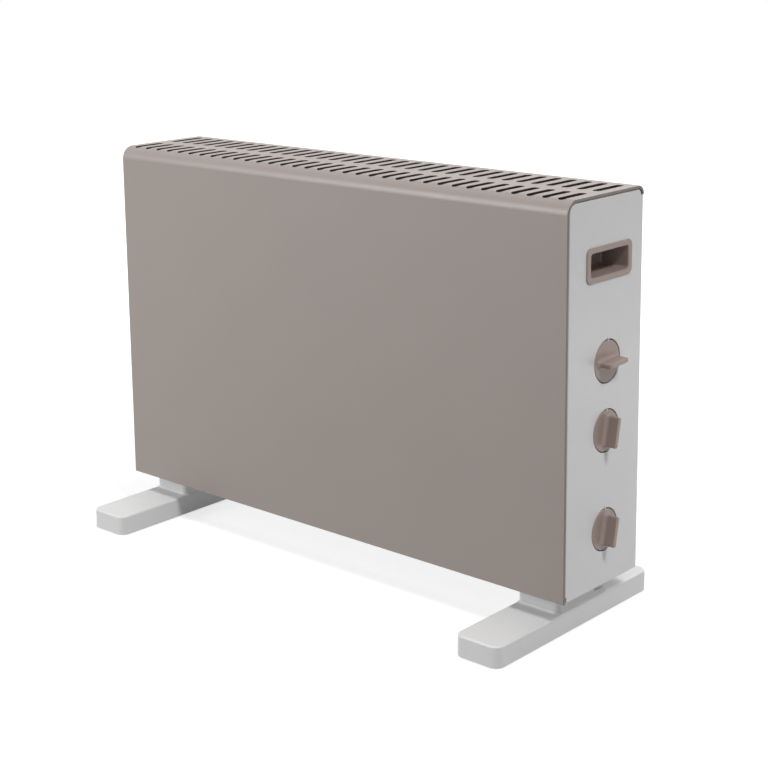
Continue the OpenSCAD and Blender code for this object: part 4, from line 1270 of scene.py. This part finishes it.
def seen_directly(tree):
    """1 for rays of the camera, reflections and transmission, and 0 for the light itself"""
    path = tree.nodes.new("ShaderNodeLightPath")
    result = path.outputs["Is Camera Ray"]
    for name in ("Is Glossy Ray", "Is Transmission Ray"):
        either = tree.nodes.new("ShaderNodeMath")
        either.operation = "MAXIMUM"
        tree.links.new(result, either.inputs[0])
        tree.links.new(path.outputs[name], either.inputs[1])
        result = either.outputs["Value"]
    return result


class HEATER_OT_stage(bpy.types.Operator):
    """Makes the floor, the light and the camera"""
    bl_idname = "heater.stage"
    bl_label = "Stage"

    def execute(self, context):
        scene = context.scene
        stage = scene.heater_stage
        self.make_floor(scene, stage)
        self.make_world(scene, stage)
        # Places and targets of the lamps are in the case's frame
        middle = (0.0, 0.0, CASE_H / 2)
        right_end = (CASE_W / 2, 0.0, CASE_H / 2)
        lamp("key", "AREA", (-1.6, -2.4, 1.2), middle, 1.2, stage.key, scene)
        lamp("top", "AREA", (0.15, 0.05, 2.3), middle, 0.4, stage.top, scene)
        lamp("side", "SUN", (1.3, -0.24, 1.55), right_end, 0.20, stage.side, scene)
        lamp("low", "AREA", (0.70, 0.46, 0.0), right_end, 0.3, stage.low, scene)
        lamp("rear", "AREA", (-0.2, 2.4, 1.3), middle, 1.2, stage.rear, scene)
        self.make_camera(scene, stage)
        scene.view_settings.view_transform = "Standard"
        return {"FINISHED"}

    def make_floor(self, scene, stage):
        half = stage.floor / 2
        mesh = bpy.data.meshes.new("floor")
        mesh.from_pydata(level(rectangle(-half, -half, half, half), 0.0), [], [(0, 1, 2, 3)])
        thing = bpy.data.objects.new("floor", mesh)
        scene.collection.objects.link(thing)
        finish = Finish("floor_paint", (0.42, 0.42, 0.42), 0.8)
        finish.shader.inputs["Specular IOR Level"].default_value = 0.1
        finish.tint(finish.spread(finish.noise(0.5, 2.0), 0.0, 1.0), 0.004)
        distance = finish.vector_math("LENGTH", finish.place)
        glow = finish.spread(distance, stage.glow, 1.0, stage.near, stage.far)
        tree = finish.material.node_tree
        light = tree.nodes.new("ShaderNodeEmission")
        tree.links.new(finish.math("MULTIPLY", glow, seen_directly(tree)), light.inputs["Strength"])
        both = tree.nodes.new("ShaderNodeAddShader")
        tree.links.new(finish.shader.outputs["BSDF"], both.inputs[0])
        tree.links.new(light.outputs["Emission"], both.inputs[1])
        output = next(node for node in tree.nodes if node.type == "OUTPUT_MATERIAL")
        tree.links.new(both.outputs["Shader"], output.inputs["Surface"])
        mesh.materials.append(finish.material)

    def make_world(self, scene, stage):
        world = bpy.data.worlds.new("surroundings")
        world.use_nodes = True
        tree = world.node_tree
        tree.nodes.clear()
        output = tree.nodes.new("ShaderNodeOutputWorld")
        mix = tree.nodes.new("ShaderNodeMixShader")
        tree.links.new(seen_directly(tree), mix.inputs["Fac"])
        for socket, strength in ((mix.inputs[1], stage.world), (mix.inputs[2], 1.0)):
            light = tree.nodes.new("ShaderNodeBackground")
            light.inputs["Color"].default_value = (1.0, 1.0, 1.0, 1.0)
            light.inputs["Strength"].default_value = strength
            tree.links.new(light.outputs["Background"], socket)
        tree.links.new(mix.outputs["Shader"], output.inputs["Surface"])
        scene.world = world

    def make_camera(self, scene, stage):
        data = bpy.data.cameras.new("camera")
        data.sensor_width = 36.0
        data.lens = stage.lens
        data.shift_y = stage.shift
        data.clip_end = 50.0
        thing = bpy.data.objects.new("camera", data)
        scene.collection.objects.link(thing)
        sine, cosine = math.sin(stage.azimuth), math.cos(stage.azimuth)
        level_part = math.cos(stage.pitch)
        forward = Vector((sine * level_part, cosine * level_part, -math.sin(stage.pitch)))
        right = Vector((cosine, -sine, 0.0))
        up = right.cross(forward)
        turned_right = right * math.cos(stage.roll) + up * math.sin(stage.roll)
        turned_up = up * math.cos(stage.roll) - right * math.sin(stage.roll)
        axes = Matrix((turned_right, turned_up, -forward)).transposed().to_4x4()
        thing.matrix_world = Matrix.Translation(CASE_AT + Vector(stage.camera_at)) @ axes
        scene.camera = thing


class HEATER_PT_sidebar(bpy.types.Panel):
    """Lists the heater's pieces in the sidebar"""
    bl_idname = "HEATER_PT_sidebar"
    bl_label = "Heater"
    bl_space_type = "VIEW_3D"
    bl_region_type = "UI"
    bl_category = "Heater"

    def draw(self, context):
        for operator in OPERATORS:
            self.layout.operator(operator.bl_idname)
        for name in GROUPS:
            group = getattr(context.scene, name)
            box = self.layout.box()
            for key in group.bl_rna.properties.keys():
                if key not in ("rna_type", "name"):
                    box.prop(group, key)


GROUPS = {
    "heater_cover": CoverSizes,
    "heater_panel": PanelSizes,
    "heater_grip": GripSizes,
    "heater_knob": KnobSizes,
    "heater_foot": FootSizes,
    "heater_colours": Colours,
    "heater_stage": StageSizes,
}
OPERATORS = (
    HEATER_OT_finishes,
    HEATER_OT_cover,
    HEATER_OT_panels,
    HEATER_OT_grips,
    HEATER_OT_knobs,
    HEATER_OT_feet,
    HEATER_OT_stage,
)


def register():
    for group in GROUPS.values():
        bpy.utils.register_class(group)
    for name, group in GROUPS.items():
        setattr(bpy.types.Scene, name, bpy.props.PointerProperty(type=group))
    for operator in OPERATORS:
        bpy.utils.register_class(operator)
    bpy.utils.register_class(HEATER_PT_sidebar)


def unregister():
    bpy.utils.unregister_class(HEATER_PT_sidebar)
    for operator in reversed(OPERATORS):
        bpy.utils.unregister_class(operator)
    for name, group in GROUPS.items():
        delattr(bpy.types.Scene, name)
        bpy.utils.unregister_class(group)


def main():
    register()
    bpy.ops.heater.finishes()
    bpy.ops.heater.cover()
    bpy.ops.heater.panels()
    bpy.ops.heater.grips()
    bpy.ops.heater.knobs()
    bpy.ops.heater.feet()
    bpy.ops.heater.stage()


if __name__ == "__main__":
    main()
